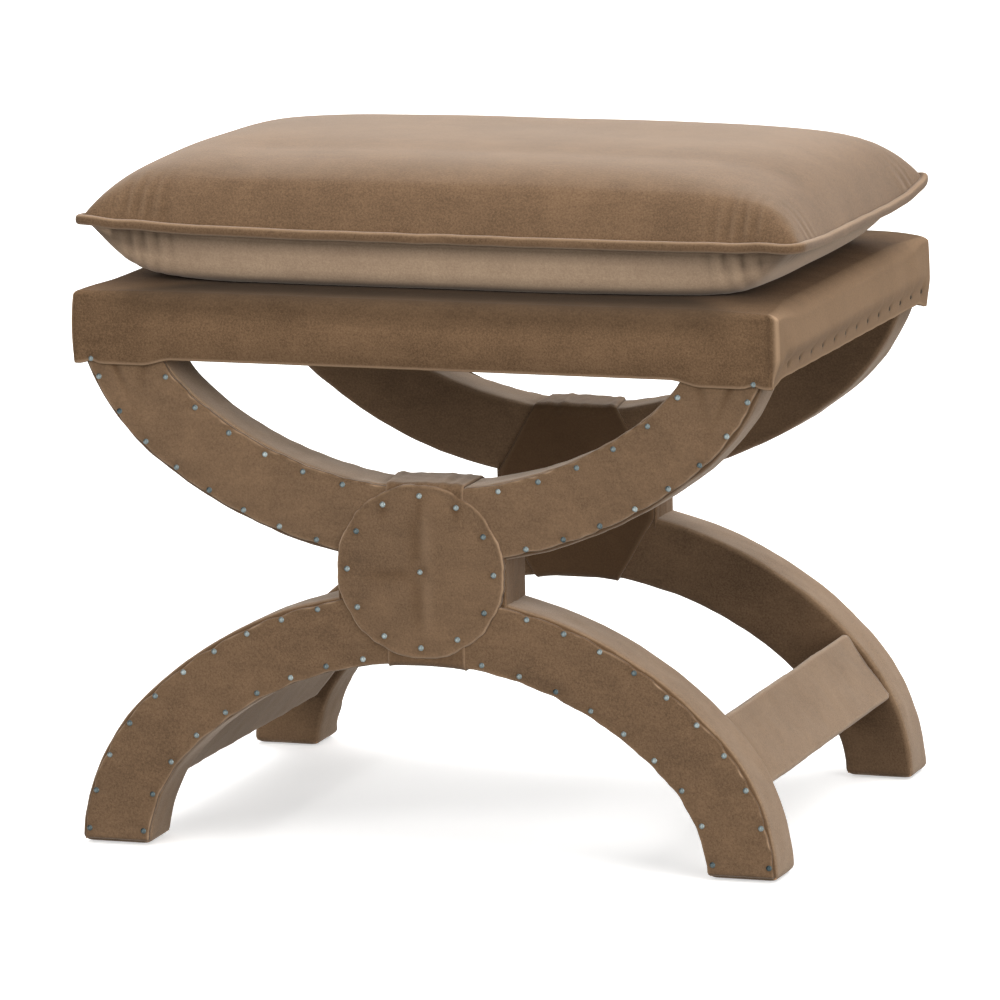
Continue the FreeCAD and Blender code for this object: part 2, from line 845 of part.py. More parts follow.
def hub_wrap(name):
    """Velvet round the crossing: a back patch with flaps over the top, under the bottom and at the sides."""
    top_inset = upper.width + velvet
    bottom_inset = lower.width + velvet
    patch = [
        (half_hub, lower.height_at(ZERO, half_hub), None),
        (half_hub, upper.height_at(ZERO, half_hub), None),
        (half_wrap, upper.height_at(top_inset, half_wrap), upper.crown_turn(top_inset, False)),
        (-half_wrap, upper.height_at(top_inset, half_wrap), None),
        (-half_hub, upper.height_at(ZERO, half_hub), None),
        (-half_hub, lower.height_at(ZERO, half_hub), None),
        (-half_wrap, lower.height_at(bottom_inset, half_wrap), lower.crown_turn(bottom_inset, False)),
        (half_wrap, lower.height_at(bottom_inset, half_wrap), None),
    ]
    body = prism(name, sleeve_back, velvet, patch)
    flaps = (
        ("top_flap", upper, top_inset, core_plane),
        ("bottom_flap", lower, bottom_inset, face_plane),
    )
    for label, band, inset, front in flaps:
        near = band.height_at(band.width, half_wrap)
        far = band.height_at(inset, half_wrap)
        flap = [
            (half_wrap, near, None),
            (half_wrap, far, band.crown_turn(inset, band.sign > 0)),
            (-half_wrap, far, None),
            (-half_wrap, near, band.crown_turn(band.width, band.sign < 0)),
        ]
        sketch = outline_sketch(body, name + "_" + label, "XZ_Plane", front, flap)
        add_pad(body, sketch, front - wrap_back, True)
    rim = medallion_radius + size("panel_gap")
    rim_z = medallion_z - root(rim * rim - half_wrap * half_wrap)
    hem = lower.height_at(lower.width, half_wrap)
    tab = [
        (half_wrap, hem, None),
        (half_wrap, rim_z, Turn(ZERO, medallion_z, rim, False)),
        (-half_wrap, rim_z, None),
        (-half_wrap, hem, lower.crown_turn(lower.width, False)),
    ]
    sketch = outline_sketch(body, name + "_front_tab", "XZ_Plane", face_plane, tab)
    add_pad(body, sketch, size("panel_thickness"), True)
    inner = half_hub - velvet
    side = [
        (inner, lower.height_at(ZERO, inner), None),
        (half_hub, lower.height_at(ZERO, half_hub), None),
        (half_hub, upper.height_at(ZERO, half_hub), None),
        (inner, upper.height_at(ZERO, inner), None),
    ]
    sketch = outline_sketch(body, name + "_side_flaps", "XZ_Plane", core_plane, side, mirrored(side))
    add_pad(body, sketch, core_plane - wrap_back, True)
    return body


def disc(name, front, depth, radius):
    """A round plate about the medallion's middle."""
    body = new_body(name)
    sketch = new_sketch(body, name + "_circle", "XZ_Plane", front)
    draw_circle(sketch, medallion_z, radius)
    add_pad(body, sketch, depth, True)
    return body


def medallion_cover(name):
    """Velvet cap over the medallion's board, open at the back."""
    board = size("medallion_board")
    body = disc(name, medallion_front, board + velvet, medallion_radius)
    sketch = new_sketch(body, name + "_hollow", "XZ_Plane", core_plane)
    draw_circle(sketch, medallion_z, medallion_radius - velvet)
    add_pocket(body, sketch, board, True)
    return body


def build_frame(name, frame):
    """All the pieces of one cross frame, modelled at the front and turned about z for the rear."""
    depth = size("core_depth")
    dowels = hub_dowel_places(frame)
    hub_holes = copies(name + "_hub_dowel_holes", hub_dowel_hole, dowels)
    hub = prism(name + "_hub_blank", core_plane, depth, hub_outline())
    hub.Placement = frame
    keep(name + "_hub_block", cut(name + "_hub_block", hub, hub_holes))
    keep(name + "_hub_dowels", copies(name + "_hub_dowels", hub_dowel, dowels))
    members = (("upper", upper, ZERO, seat_holes), ("lower", lower, velvet, bar_holes))
    for part, band, tip_inset, end_holes in members:
        node = name + "_" + part + "_arc"
        core = band.outline(velvet, band.width - velvet, band.end + tip_inset)
        blank = prism(node + "_blank", core_plane, depth, core)
        blank.Placement = frame
        keep(node, cut(node, cut(node + "_hub_drilled", blank, hub_holes), end_holes))
        node = name + "_" + part + "_cover"
        channel = sleeve(node + "_blank", band, tip_inset)
        channel.Placement = frame
        keep(node, cut(node, cut(node + "_hub_opened", channel, hub), end_holes))
        right = panel_outline(band, part == "lower")
        for side, outline in (("right", right), ("left", mirrored(right))):
            node = name + "_" + part + "_" + side + "_panel"
            panel = prism(node, face_plane, size("panel_thickness"), outline)
            panel.Placement = frame
            keep(node, panel)
    board = disc(
        name + "_medallion_board",
        core_plane + size("medallion_board"),
        size("medallion_board"),
        medallion_radius - velvet,
    )
    round_pieces = {
        name + "_hub_wrap": hub_wrap(name + "_hub_wrap"),
        name + "_medallion_board": board,
        name + "_medallion_cover": medallion_cover(name + "_medallion_cover"),
    }
    for node, piece in round_pieces.items():
        piece.Placement = frame
        keep(node, piece)
    keep(name + "_arm_nails", copies(name + "_arm_nails", nail, arm_nail_places(frame)))
    keep(name + "_medallion_nails", copies(name + "_medallion_nails", nail, medallion_nail_places(frame)))


# Stretchers

def build_stretchers():
    """Left and right bars between the frames, each with its velvet sleeve, and their dowels."""
    length = 2 * sleeve_back
    core = bar_outline(velvet)
    skin = bar_outline(ZERO)
    for side, turn in (("right", list), ("left", mirrored)):
        node = side + "_stretcher"
        blank = prism(node + "_blank", sleeve_back, length, turn(core))
        keep(node, cut(node, blank, bar_holes))
        node = side + "_stretcher_cover"
        keep(node, prism(node, sleeve_back, length, turn(skin), turn(core)))
    keep("stretcher_dowels", copies("stretcher_dowels", bar_dowel, bar_dowel_places()))
    keep("foot_glides", copies("foot_glides", glide, glide_places()))


# Seat box

def build_rails():
    """Four rails, the corner blocks inside them, and the screws down into the arms."""
    thick = size("rail_thickness")
    tall = size("rail_height")
    long_span = (2 * box_x, thick, tall)
    short_span = (thick, 2 * inside_y, tall)
    rails = {
        "front_rail": ((-box_x, -box_y, rail_bottom), long_span),
        "rear_rail": ((-box_x, inside_y, rail_bottom), long_span),
        "left_rail": ((-box_x, -inside_y, rail_bottom), short_span),
        "right_rail": ((inside_x, -inside_y, rail_bottom), short_span),
    }
    for node, (low, span) in rails.items():
        blank = block(node + "_blank", low, span)
        drilled = cut(node + "_drilled", blank, rail_holes)
        keep(node, cut(node, drilled, deck_holes))
    leg = size("corner_block_leg")
    wedges = []
    for index, (side, end) in enumerate(CORNERS):
        outline = [
            (side * inside_x, end * inside_y, None),
            (side * (inside_x - leg), end * inside_y, None),
            (side * inside_x, end * (inside_y - leg), None),
        ]
        wedges.append(slab(f"corner_block_{index}", rail_bottom, size("corner_block_height"), outline))
    blanks = doc.addObject("Part::Compound", "corner_block_blanks")
    blanks.Links = wedges
    keep("corner_blocks", cut("corner_blocks", blanks, block_holes))
    screws = doc.addObject("Part::Compound", "frame_screws")
    screws.Links = [
        copies("rail_screws", rail_screw, rail_screw_places()),
        copies("block_screws", block_screw, block_screw_places()),
    ]
    keep("frame_screws", screws)


def build_deck():
    """Plywood deck, its screws, the foam pad on it and the dust cloth under the rails."""
    deck = block("deck_blank", (-box_x, -box_y, rail_top), (2 * box_x, 2 * box_y, size("deck_thickness")))
    keep("seat_deck", cut("seat_deck", deck, deck_holes))
    keep("deck_screws", copies("deck_screws", deck_screw, deck_screw_places()))
    pad_span = (2 * box_x, 2 * box_y, size("pad_thickness"))
    keep("seat_pad", block("seat_pad", (-box_x, -box_y, deck_top), pad_span))
    margin = size("dust_margin")
    wide = box_x - margin
    deep = box_y - margin
    arm_x = arm_inside - margin
    arm_y = wrap_back - margin
    cross = [
        (wide, -arm_y, None),
        (wide, arm_y, None),
        (arm_x, arm_y, None),
        (arm_x, deep, None),
        (-arm_x, deep, None),
        (-arm_x, arm_y, None),
        (-wide, arm_y, None),
        (-wide, -arm_y, None),
        (-arm_x, -arm_y, None),
        (-arm_x, -deep, None),
        (arm_x, -deep, None),
        (arm_x, -arm_y, None),
    ]
    cloth = size("dust_cloth")
    keep("dust_cover", slab("dust_cover", rail_bottom - cloth, cloth, cross))


def build_seat_cover():
    """Velvet box over the seat, with its hem lower at the corners, where it is nailed over the arms."""
    plan = rounded_rectangle(apron_x, apron_y, size("apron_corner_radius"))
    body = slab("seat_cover", hem_bottom, seat_top - hem_bottom, plan)
    doc.recompute()
    pad = body.Tip
    top_edges = []
    for index, edge in enumerate(pad.Shape.Edges, 1):
        if edge.BoundBox.ZMin > seat_top.value - 1e-6:
            top_edges.append(f"Edge{index}")
    rounding = body.newObject("PartDesign::Fillet", "seat_cover_edge")
    rounding.Base = (pad, top_edges)
    rounding.setExpression("Radius", size("apron_edge_radius").text)
    hollow = outline_sketch(body, "seat_cover_hollow", "XY_Plane", hem_bottom, rectangle(box_x, box_y))
    add_pocket(body, hollow, pad_top - hem_bottom, True)
    gap = size("hem_corner_gap")
    arm_x = arm_inside - gap
    arm_y = wrap_back - gap
    reliefs = (
        ("seat_cover_front_relief", rectangle(arm_x, apron_y + velvet)),
        ("seat_cover_side_relief", rectangle(apron_x + velvet, arm_y)),
    )
    for name, outline in reliefs:
        sketch = outline_sketch(body, name, "XY_Plane", hem_bottom, outline)
        add_pocket(body, sketch, size("hem_relief"), True)
    keep("seat_cover", body)
    keep("corner_nails", copies("corner_nails", nail, corner_nail_places()))
    keep("side_tacks", copies("side_tacks", nail, side_tack_places()))


# Loose cushion

seam_z = seat_top + size("cushion_rest_gap") + size("cushion_belly")
seam_x = apron_x + size("cushion_overhang") - size("welt_diameter") - size("welt_gap")
seam_y = apron_y - size("cushion_setback") - size("welt_diameter") - size("welt_gap")


def add_pillow_half(body, name, height, flat, inset):
    """One half of a pillow: levels on a quarter round from the seam to the flat, named by its sizes."""
    seam = (seam_x - inset, seam_y - inset, size("cushion_corner_radius"))
    shoulder = size(flat + "_shoulder")
    goal = (seam_x - shoulder, seam_y - shoulder, size(flat + "_corner"))
    levels = []
    for index, bearing in enumerate(SHOULDER_ANGLES):
        slope = math.radians(bearing)
        share = round(1 - math.cos(slope), 6)
        plan = rounded_rectangle(*[start + (end - start) * share for start, end in zip(seam, goal)])
        rise = height * round(math.sin(slope), 6)
        levels.append(outline_sketch(body, f"{name}_level_{index}", "XY_Plane", seam_z + rise, plan))
    loft = body.newObject("PartDesign::AdditiveLoft", name + "_loft")
    loft.Profile = levels[0]
    loft.Sections = levels[1:]
    loft.Ruled = True


def build_cushion():
    """Filling, top and bottom covers and the welt round their seam."""
    crown = size("cushion_crown")
    belly = -size("cushion_belly")
    filling = new_body("cushion_filling")
    add_pillow_half(filling, "filling_crown", crown - velvet, "cushion_crown", velvet)
    add_pillow_half(filling, "filling_belly", belly + velvet, "cushion_belly", velvet)
    keep("cushion_filling", filling)
    halves = {"top": (crown, "cushion_crown"), "bottom": (belly, "cushion_belly")}
    for half, (height, flat) in halves.items():
        node = "cushion_" + half + "_cover"
        blank = new_body(node + "_blank")
        add_pillow_half(blank, node + "_skin", height, flat, ZERO)
        keep(node, cut(node, blank, filling))
    radius = size("welt_diameter") / 2
    lead = radius + size("welt_gap")
    path = rounded_rectangle(seam_x + lead, seam_y + lead, size("cushion_corner_radius") + lead)
    welt = new_body("cushion_welt")
    spine = outline_sketch(welt, "welt_path", "XY_Plane", seam_z, path)
    section = new_sketch(welt, "welt_section", "YZ_Plane", ZERO)
    centre = FreeCAD.Vector(-(seam_y + lead).value, seam_z.value, 0)
    circle = section.addGeometry(Part.Circle(centre, FreeCAD.Vector(0, 0, 1), radius.value))
    place_corner(section, circle, 3, -(seam_y + lead), seam_z)
    bind(section, Sketcher.Constraint("Radius", circle, radius.value), radius)
    pipe = welt.newObject("PartDesign::AdditivePipe", "welt_pipe")
    pipe.Profile = section
    pipe.Spine = (spine, [])
    keep("cushion_welt", welt)


# Build, test and write

def write_nodes():
    """Stop on any object that failed, then write each piece to its own file."""
    doc.recompute()
    for item in doc.Objects:
        if "Invalid" in item.State or "Error" in item.State:
            raise RuntimeError(item.Label + " failed: " + str(item.State))
    for name, item in nodes.items():
        if item.Shape.isNull() or not item.Shape.isValid():
            raise RuntimeError(name + " has no valid shape")
    os.makedirs("parts", exist_ok=True)
    for name, item in nodes.items():
        item.Shape.exportStep("parts/" + name + ".step")
        print(name, len(item.Shape.Solids), "solids", round(item.Shape.Volume / 1000, 2), "cm3")


for frame_name, frame_placement in FRAMES.items():
    build_frame(frame_name, frame_placement)
build_stretchers()
build_rails()
build_deck()
build_seat_cover()
build_cushion()
write_nodes()
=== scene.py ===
"""Looks of a velvet ottoman on an X base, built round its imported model.

Lengths in the classes are millimetres in the part's own frame: X along the wide front, Y to the
back, Z up, with the origin at the bottom centre. filled_mesh turns them into metres.
"""

import logging
import math
from dataclasses import dataclass, replace
from enum import Enum

import bmesh
import bpy
import numpy as np
from mathutils import Matrix, Vector


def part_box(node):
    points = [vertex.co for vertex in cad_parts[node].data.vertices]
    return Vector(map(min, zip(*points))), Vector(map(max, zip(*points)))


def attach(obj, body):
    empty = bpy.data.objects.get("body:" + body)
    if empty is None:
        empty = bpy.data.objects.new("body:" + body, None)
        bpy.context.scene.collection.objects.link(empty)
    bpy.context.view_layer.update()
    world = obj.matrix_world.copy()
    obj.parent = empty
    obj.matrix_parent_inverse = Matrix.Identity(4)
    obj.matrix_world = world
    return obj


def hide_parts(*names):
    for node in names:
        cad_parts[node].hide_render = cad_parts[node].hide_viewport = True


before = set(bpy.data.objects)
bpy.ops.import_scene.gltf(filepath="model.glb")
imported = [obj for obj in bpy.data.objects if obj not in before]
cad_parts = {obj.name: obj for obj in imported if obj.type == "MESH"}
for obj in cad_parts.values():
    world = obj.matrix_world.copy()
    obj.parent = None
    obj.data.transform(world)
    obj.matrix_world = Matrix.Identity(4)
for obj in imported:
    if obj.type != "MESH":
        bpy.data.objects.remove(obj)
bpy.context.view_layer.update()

log = logging.getLogger("ottoman")
Array = np.ndarray
Colour = tuple[float, float, float]
MM = 0.001
SEAT_HALF_WIDTH = 304.0
SEAT_HALF_DEPTH = 244.0


# Choices


class Side(Enum):
    """The two cross frames."""

    FRONT = "front"
    REAR = "rear"

    @property
    def turn(self) -> Array:
        """Factors that turn the front frame's points half round the upright axis for the rear."""
        sign = 1.0 if self is Side.FRONT else -1.0
        return np.array([sign, sign, 1.0])


class Hand(Enum):
    """Left and right halves of a frame, seen from its own outer face."""

    LEFT = -1
    RIGHT = 1


# Array helpers


def eased(value: Array, low: float, high: float) -> Array:
    """A smooth step from 0 at low to 1 at high: 3t^2 - 2t^3.

    Args:
        value: The numbers to step.
        low: Where the step starts.
        high: Where it ends.

    Returns:
        The stepped numbers.
    """
    share = np.clip((value - low) / (high - low), 0.0, 1.0)
    return share * share * (3.0 - 2.0 * share)


def bell(distance: Array, width: float) -> Array:
    """A bell curve of height 1: e to the minus squared distance over width."""
    return np.exp(-((distance / width) ** 2))


def stacked(*parts: Array | float) -> Array:
    """Parts spread to one shape and joined along a new last axis."""
    return np.stack(np.broadcast_arrays(*parts), axis=-1)


def quads(grid: Array) -> Array:
    """The four corners, in turn, of each cell in a grid of point numbers."""
    return stacked(grid[:-1, :-1], grid[1:, :-1], grid[1:, 1:], grid[:-1, 1:])


@dataclass(frozen=True)
class Ripple:
    """Soft unevenness of cloth: the sum of ten seeded sine waves through space."""

    seed: int
    length: float
    squeeze: tuple[float, float, float] = (1.0, 1.0, 1.0)

    def at(self, points: Array) -> Array:
        """Height of the waves at points, mostly between -1 and 1.

        Args:
            points: Positions in millimetres, the last axis being x, y, z.

        Returns:
            One height for each point.
        """
        chance = np.random.default_rng(self.seed)
        way = chance.normal(size=(10, 3))
        way /= np.linalg.norm(way, axis=1, keepdims=True)
        pace = chance.uniform(0.7, 1.5, (10, 1)) * 2.0 * np.pi / self.length
        waves = way * pace * np.array(self.squeeze)
        phase = chance.uniform(0.0, 2.0 * np.pi, 10)
        return np.sin(points @ waves.T + phase).sum(axis=-1) / 4.0


@dataclass(frozen=True)
class Fold:
    """A straight fold in cloth, whose line leans as it goes along."""

    place: float
    lean: float
    width: float
    strength: float = 1.0

    def at(self, across: Array, along: Array) -> Array:
        """Its height: a bell curve about its place plus its lean times the way along."""
        return self.strength * bell(across - self.place - self.lean * along, self.width)


def rounded_section(
    low: float, high: float, near: float, far: float, radius: float, sweep: int = 6, run: int = 8
) -> Array:
    """A closed rounded rectangle, and which way is out of it.

    Each corner is a quarter circle of the radius, and the straight sides run evenly between them.

    Args:
        low, high: Limits of the first coordinate.
        near, far: Limits of the second coordinate.
        radius: Corner radius.
        sweep: Points on each corner.
        run: Points on each straight side.

    Returns:
        Rows of first coordinate, second coordinate and the two parts of the outward direction.
    """
    angle = np.linspace(0.0, np.pi / 2, sweep) + np.arange(4)[:, None] * np.pi / 2
    first = np.array([high - radius, low + radius, low + radius, high - radius])[:, None]
    second = np.array([far - radius, far - radius, near + radius, near + radius])[:, None]
    across = np.cos(angle)
    along = np.sin(angle)
    corner = stacked(first + radius * across, second + radius * along, across, along)
    share = np.linspace(0.0, 1.0, run + 2)[1:-1][None, :, None]
    straight = corner[:, -1:] * (1.0 - share) + np.roll(corner, -1, axis=0)[:, :1] * share
    return np.concatenate([corner, straight], axis=1).reshape(-1, 4)


@dataclass(frozen=True)
class Roll:
    """Cross section of a padded strip with rolled edges, lying on a flat ground."""

    half: float
    height: float
    roll: float
    run: int = 30
    sweep: int = 6

    def section(self) -> tuple[Array, Array, Array]:
        """Points of the section from one foot over the top to the other.

        The wall rises straight, turns over a quarter circle of the roll's radius, and the top is flat.

        Returns:
            Where each point is across (-1 to 1), its height, and its share of the top's swelling.
        """
        turn = np.linspace(0.0, np.pi / 2, self.sweep)
        edge = self.half - self.roll * (1.0 - np.cos(turn))
        rise = self.height - self.roll * (1.0 - np.sin(turn))
        top = np.linspace(self.half - self.roll, self.roll - self.half, self.run)[1:-1]
        across = np.concatenate([[self.half], edge, top, -edge[::-1], [-self.half]]) / self.half
        height = np.concatenate([[0.0], rise, np.full(len(top), self.height), rise[::-1], [0.0]])
        share = np.concatenate([[0.0], np.sin(turn), np.ones(len(top)), np.sin(turn)[::-1], [0.0]])
        return across, height, share


# Meshes


@dataclass
class Skin:
    """A grid whose rows close into rings, and how much painted highlight (on raised edges) and painted
    shade (in folds and recesses) each point gets.

    A loop's last row joins its first, and a capped skin is closed by a face at each end.
    """

    points: Array
    ridge: Array | float = 0.0
    painted_shade: Array | float = 0.0
    loop: bool = False
    capped: bool = False

    def __post_init__(self) -> None:
        """Spreads both marks over the whole grid."""
        self.ridge = np.broadcast_to(self.ridge, self.points.shape[:2])
        self.painted_shade = np.broadcast_to(self.painted_shade, self.points.shape[:2])

    def faces(self, start: int) -> list[list[int]]:
        """Quads between neighbouring points, and the faces that cap the ends.

        Args:
            start: Number of the first point in the mesh.

        Returns:
            Point numbers of each face.
        """
        rows, columns = self.points.shape[:2]
        index = np.arange(rows * columns).reshape(rows, columns) + start
        grid = np.concatenate([index, index[:, :1]], axis=1)
        grid = np.concatenate([grid, grid[:1]], axis=0) if self.loop else grid
        other_way = [0, 3, 2, 1]
        made = quads(grid)[..., other_way].reshape(-1, 4).tolist()
        if self.capped:
            made.append(index[0][::-1].tolist())
            made.append(index[-1].tolist())
        return made

    def turned(self, factors: Array) -> "Skin":
        """The same skin with its points multiplied by one factor for each axis."""
        return replace(self, points=self.points * factors)


def filled_mesh(name: str, points: Array, faces: list, marks: dict[str, Array]) -> bpy.types.Mesh:
    """A smooth mesh with a point attribute for each mark.

    Args:
        name: The mesh's name.
        points: Rows of x, y, z in millimetres.
        faces: Point numbers of each face.
        marks: Values at the points, by the attribute's name.

    Returns:
        The mesh, in metres.
    """
    mesh = bpy.data.meshes.new(name)
    mesh.from_pydata((points * MM).tolist(), [], faces)
    for mark, values in marks.items():
        layer = mesh.attributes.new(mark, "FLOAT", "POINT")
        layer.data.foreach_set("value", values.astype(np.float32))
    mesh.polygons.foreach_set("use_smooth", np.ones(len(mesh.polygons), bool))
    return mesh


def make_mesh(name: str, skins: list[Skin]) -> bpy.types.Mesh:
    """One smooth mesh of several skins, with its faces turned outwards.

    Args:
        name: The mesh's name.
        skins: Grids that go into it.

    Returns:
        The mesh, with point attributes for painted highlight and painted shade.
    """
    starts = np.cumsum([0] + [skin.ridge.size for skin in skins])
    points = np.concatenate([skin.points.reshape(-1, 3) for skin in skins])
    faces = [face for skin, start in zip(skins, starts) for face in skin.faces(int(start))]
    marks = {
        mark: np.clip(np.concatenate([getattr(skin, mark).ravel() for skin in skins]), 0.0, 1.0)
        for mark in ("ridge", "painted_shade")
    }
    mesh = filled_mesh(name, points, faces, marks)
    work = bmesh.new()
    work.from_mesh(mesh)
    bmesh.ops.recalc_face_normals(work, faces=work.faces[:])
    work.to_mesh(mesh)
    work.free()
    return mesh


def make_piece(
    name: str, mesh: bpy.types.Mesh, coat: bpy.types.Material, body: str, nodes: list[str]
) -> bpy.types.Object:
    """Puts a mesh in the scene as a piece that rides a body and stands for solids of the frame.

    Args:
        name: The piece's name.
        mesh: Its mesh, in place.
        coat: Its material.
        body: The body that it rides.
        nodes: Solids that it stands for.

    Returns:
        The new object.
    """
    piece = bpy.data.objects.new(name, mesh)
    bpy.context.scene.collection.objects.link(piece)
    mesh.materials.append(coat)
    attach(piece, body)
    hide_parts(*nodes)
    log.info("%s: %d faces, stands for %s", name, len(mesh.polygons), ", ".join(nodes))
    return piece


def lit_coat_by_facing(
    mesh: bpy.types.Mesh, coat: bpy.types.Material, way: Array, least: float, most: float
) -> None:
    """Gives a second coat, here the lit copy of the velvet with painted light, to the faces whose
    normal goes along a direction between two shares.

    Args:
        mesh: A mesh that has its first coat.
        coat: The second.
        way: The direction.
        least, most: Limits of the normal's part along it.
    """
    mesh.materials.append(coat)
    normal = np.empty(len(mesh.polygons) * 3)
    mesh.polygons.foreach_get("normal", normal)
    part = normal.reshape(-1, 3) @ way
    mesh.polygons.foreach_set("material_index", ((part > least) & (part < most)).astype(np.int32))


# Finishes


class Shade:
    """A value in a material's nodes, with operators that add Math nodes."""

    def __init__(self, bench: "Bench", socket: bpy.types.NodeSocket) -> None:
        """Keeps the bench that makes nodes and the socket that gives this value."""
        self.bench = bench
        self.socket = socket

    def _sum(self, operation: str, first: "Shade | float", second: "Shade | float") -> "Shade":
        """A Math node of that operation."""
        return self.bench.node("ShaderNodeMath", {"operation": operation}, {0: first, 1: second})

    def __add__(self, other: "Shade | float") -> "Shade":
        """This plus other."""
        return self._sum("ADD", self, other)

    def __radd__(self, other: float) -> "Shade":
        """Other plus this."""
        return self._sum("ADD", other, self)

    def __sub__(self, other: "Shade | float") -> "Shade":
        """This less other."""
        return self._sum("SUBTRACT", self, other)

    def __rsub__(self, other: float) -> "Shade":
        """Other less this."""
        return self._sum("SUBTRACT", other, self)

    def __mul__(self, other: "Shade | float") -> "Shade":
        """This times other."""
        return self._sum("MULTIPLY", self, other)

    def __rmul__(self, other: float) -> "Shade":
        """Other times this."""
        return self._sum("MULTIPLY", other, self)


class Bench:
    """Makes one material's nodes."""

    def __init__(self, name: str) -> None:
        """Starts an empty material of that name."""
        self.material = bpy.data.materials.new(name)
        self.material.use_nodes = True
        self.tree = self.material.node_tree
        self.tree.nodes.clear()

    def node(self, kind: str, settings: dict, sockets: dict, out: int | str = 0) -> Shade:
        """Adds a node, sets it up and links it.

        Args:
            kind: The node's type.
            settings: Properties that are set first, such as an operation.
            sockets: Values or links of its inputs, by name or number.
            out: Name or number of the output that is wanted.

        Returns:
            That output.
        """
        made = self.tree.nodes.new(kind)
        for key, value in settings.items():
            setattr(made, key, value)
        for key, value in sockets.items():
            if isinstance(value, Shade):
                self.tree.links.new(value.socket, made.inputs[key])
            else:
                made.inputs[key].default_value = value
        return Shade(self, made.outputs[out]) if len(made.outputs) else Shade(self, None)

    def place(self) -> Shade:
        """The point on the piece, in metres of the part's own frame."""
        return self.node("ShaderNodeTexCoord", {}, {}, "Object")

    def noise(self, place: Shade, size: float, detail: float = 2.0) -> Shade:
        """Cloudy noise whose lumps are about that many millimetres wide."""
        sockets = {"Vector": place, "Scale": 1.0 / (size * MM), "Detail": detail, "Roughness": 0.55}
        return self.node("ShaderNodeTexNoise", {}, sockets)

    def stretched(self, place: Shade, factors: tuple[float, float, float]) -> Shade:
        """The place with each axis multiplied by a factor."""
        return self.node("ShaderNodeMapping", {}, {"Vector": place, "Scale": factors})

    def mark(self, name: str) -> Shade:
        """A point attribute of the piece."""
        return self.node("ShaderNodeAttribute", {"attribute_name": name}, {}, "Fac")

    def mix(self, share: Shade, first: Shade | Colour, second: Shade | Colour) -> Shade:
        """A blend of two colours, clamped."""
        ends = {6: first, 7: second}
        ends = {key: end if isinstance(end, Shade) else (*end, 1.0) for key, end in ends.items()}
        return self.node("ShaderNodeMix", {"data_type": "RGBA"}, {0: share, **ends}, 2)

    def bump(self, height: Shade, strength: float, depth: float) -> Shade:
        """A bumped normal, with the depth in millimetres."""
        sockets = {"Height": height, "Strength": strength, "Distance": depth * MM}
        return self.node("ShaderNodeBump", {}, sockets)

    def finish(self, sockets: dict) -> bpy.types.Material:
        """Ends the material in one principled shader with those sockets.

        Args:
            sockets: Values or links of the shader's inputs.

        Returns:
            The material.
        """
        shader = self.node("ShaderNodeBsdfPrincipled", {}, sockets)
        self.node("ShaderNodeOutputMaterial", {}, {"Surface": shader})
        return self.material


# Near-black colour of the painted shade on the seat cover and the cushion's underside, mostly painted
# shadow where cushion and seat meet.
PAINTED_SHADOW: Colour = (0.016, 0.009, 0.004)
TAUPE: tuple[Colour, Colour] = (0.095, 0.055, 0.029), (0.205, 0.124, 0.068)


@dataclass(frozen=True)
class Lump:
    """One size of noise in the velvet: its width in millimetres, and its shares of tone and height."""

    width: float
    detail: float
    tone: float
    height: float


PILE = {
    "broad": Lump(110.0, 2.0, 0.8, 0.0),
    "crush": Lump(30.0, 2.0, 0.6, 0.5),
    "streak": Lump(5.0, 2.0, 0.4, 0.1),
    "grain": Lump(1.7, 1.0, 1.2, 0.45),
    "fibre": Lump(0.7, 1.0, 0.9, 0.3),
}


@dataclass(frozen=True)
class Velvet:
    """Cut-pile cloth: crushed patches, nap streaks, fine grain, painted highlights on raised edges and
    painted shade in folds and recesses.

    nap holds the factors on each axis that draw the streaks out: the smaller, the longer.
    """

    name: str
    deep: Colour
    pale: Colour
    # Colour of the painted highlights on raised edges, hems, seams and folds.
    highlight_colour: Colour = (0.40, 0.27, 0.17)
    # Colour of the painted shade in folds, recesses, nail pits and where parts meet.
    fold: Colour = (0.075, 0.036, 0.013)
    sheen: float = 0.4
    nap: tuple[float, float, float] = (0.22, 0.5, 1.0)
    # How far the painted highlight and the painted shade are mixed in.
    painted_highlight_share: float = 0.8
    painted_shade_share: float = 0.85

    def material(self) -> bpy.types.Material:
        """The cloth's material."""
        bench = Bench(self.name)
        place = bench.place()
        noise = {}
        tone = 0.5
        height = 0.0
        for word, lump in PILE.items():
            ground = bench.stretched(place, self.nap) if word == "streak" else place
            noise[word] = bench.noise(ground, lump.width, lump.detail)
            tone = tone + (noise[word] - 0.5) * lump.tone
            height = height + noise[word] * lump.height if lump.height else height
        colour = bench.mix(tone, self.deep, self.pale)
        # Painted highlight towards the highlight colour, then painted shade towards the fold colour.
        colour = bench.mix(bench.mark("ridge") * self.painted_highlight_share, colour, self.highlight_colour)
        colour = bench.mix(bench.mark("painted_shade") * self.painted_shade_share, colour, self.fold)
        return bench.finish(
            {
                "Base Color": colour,
                "Roughness": 0.74 + noise["grain"] * 0.2,
                "Normal": bench.bump(height, 0.4, 0.9),
                "Specular IOR Level": 0.12,
                "Sheen Weight": self.sheen,
                "Sheen Roughness": 0.5,
                "Sheen Tint": (1.0, 0.86, 0.74, 1.0),
            }
        )


@dataclass(frozen=True)
class Steel:
    """Plain drawn steel with a little tarnish."""

    name: str
    bright: Colour
    dull: Colour
    rough: float

    def material(self) -> bpy.types.Material:
        """The metal's material."""
        bench = Bench(self.name)
        place = bench.place()
        patch = (bench.noise(place, 23.0) - 0.5) * 2.6 + 0.5
        scratch = bench.noise(place, 0.6, 3.0)
        return bench.finish(
            {
                "Base Color": bench.mix(patch + (scratch - 0.5) * 0.5, self.dull, self.bright),
                "Metallic": 1.0,
                "Roughness": self.rough + (scratch - 0.5) * 0.3,
                "Normal": bench.bump(scratch, 0.15, 0.1),
            }
        )


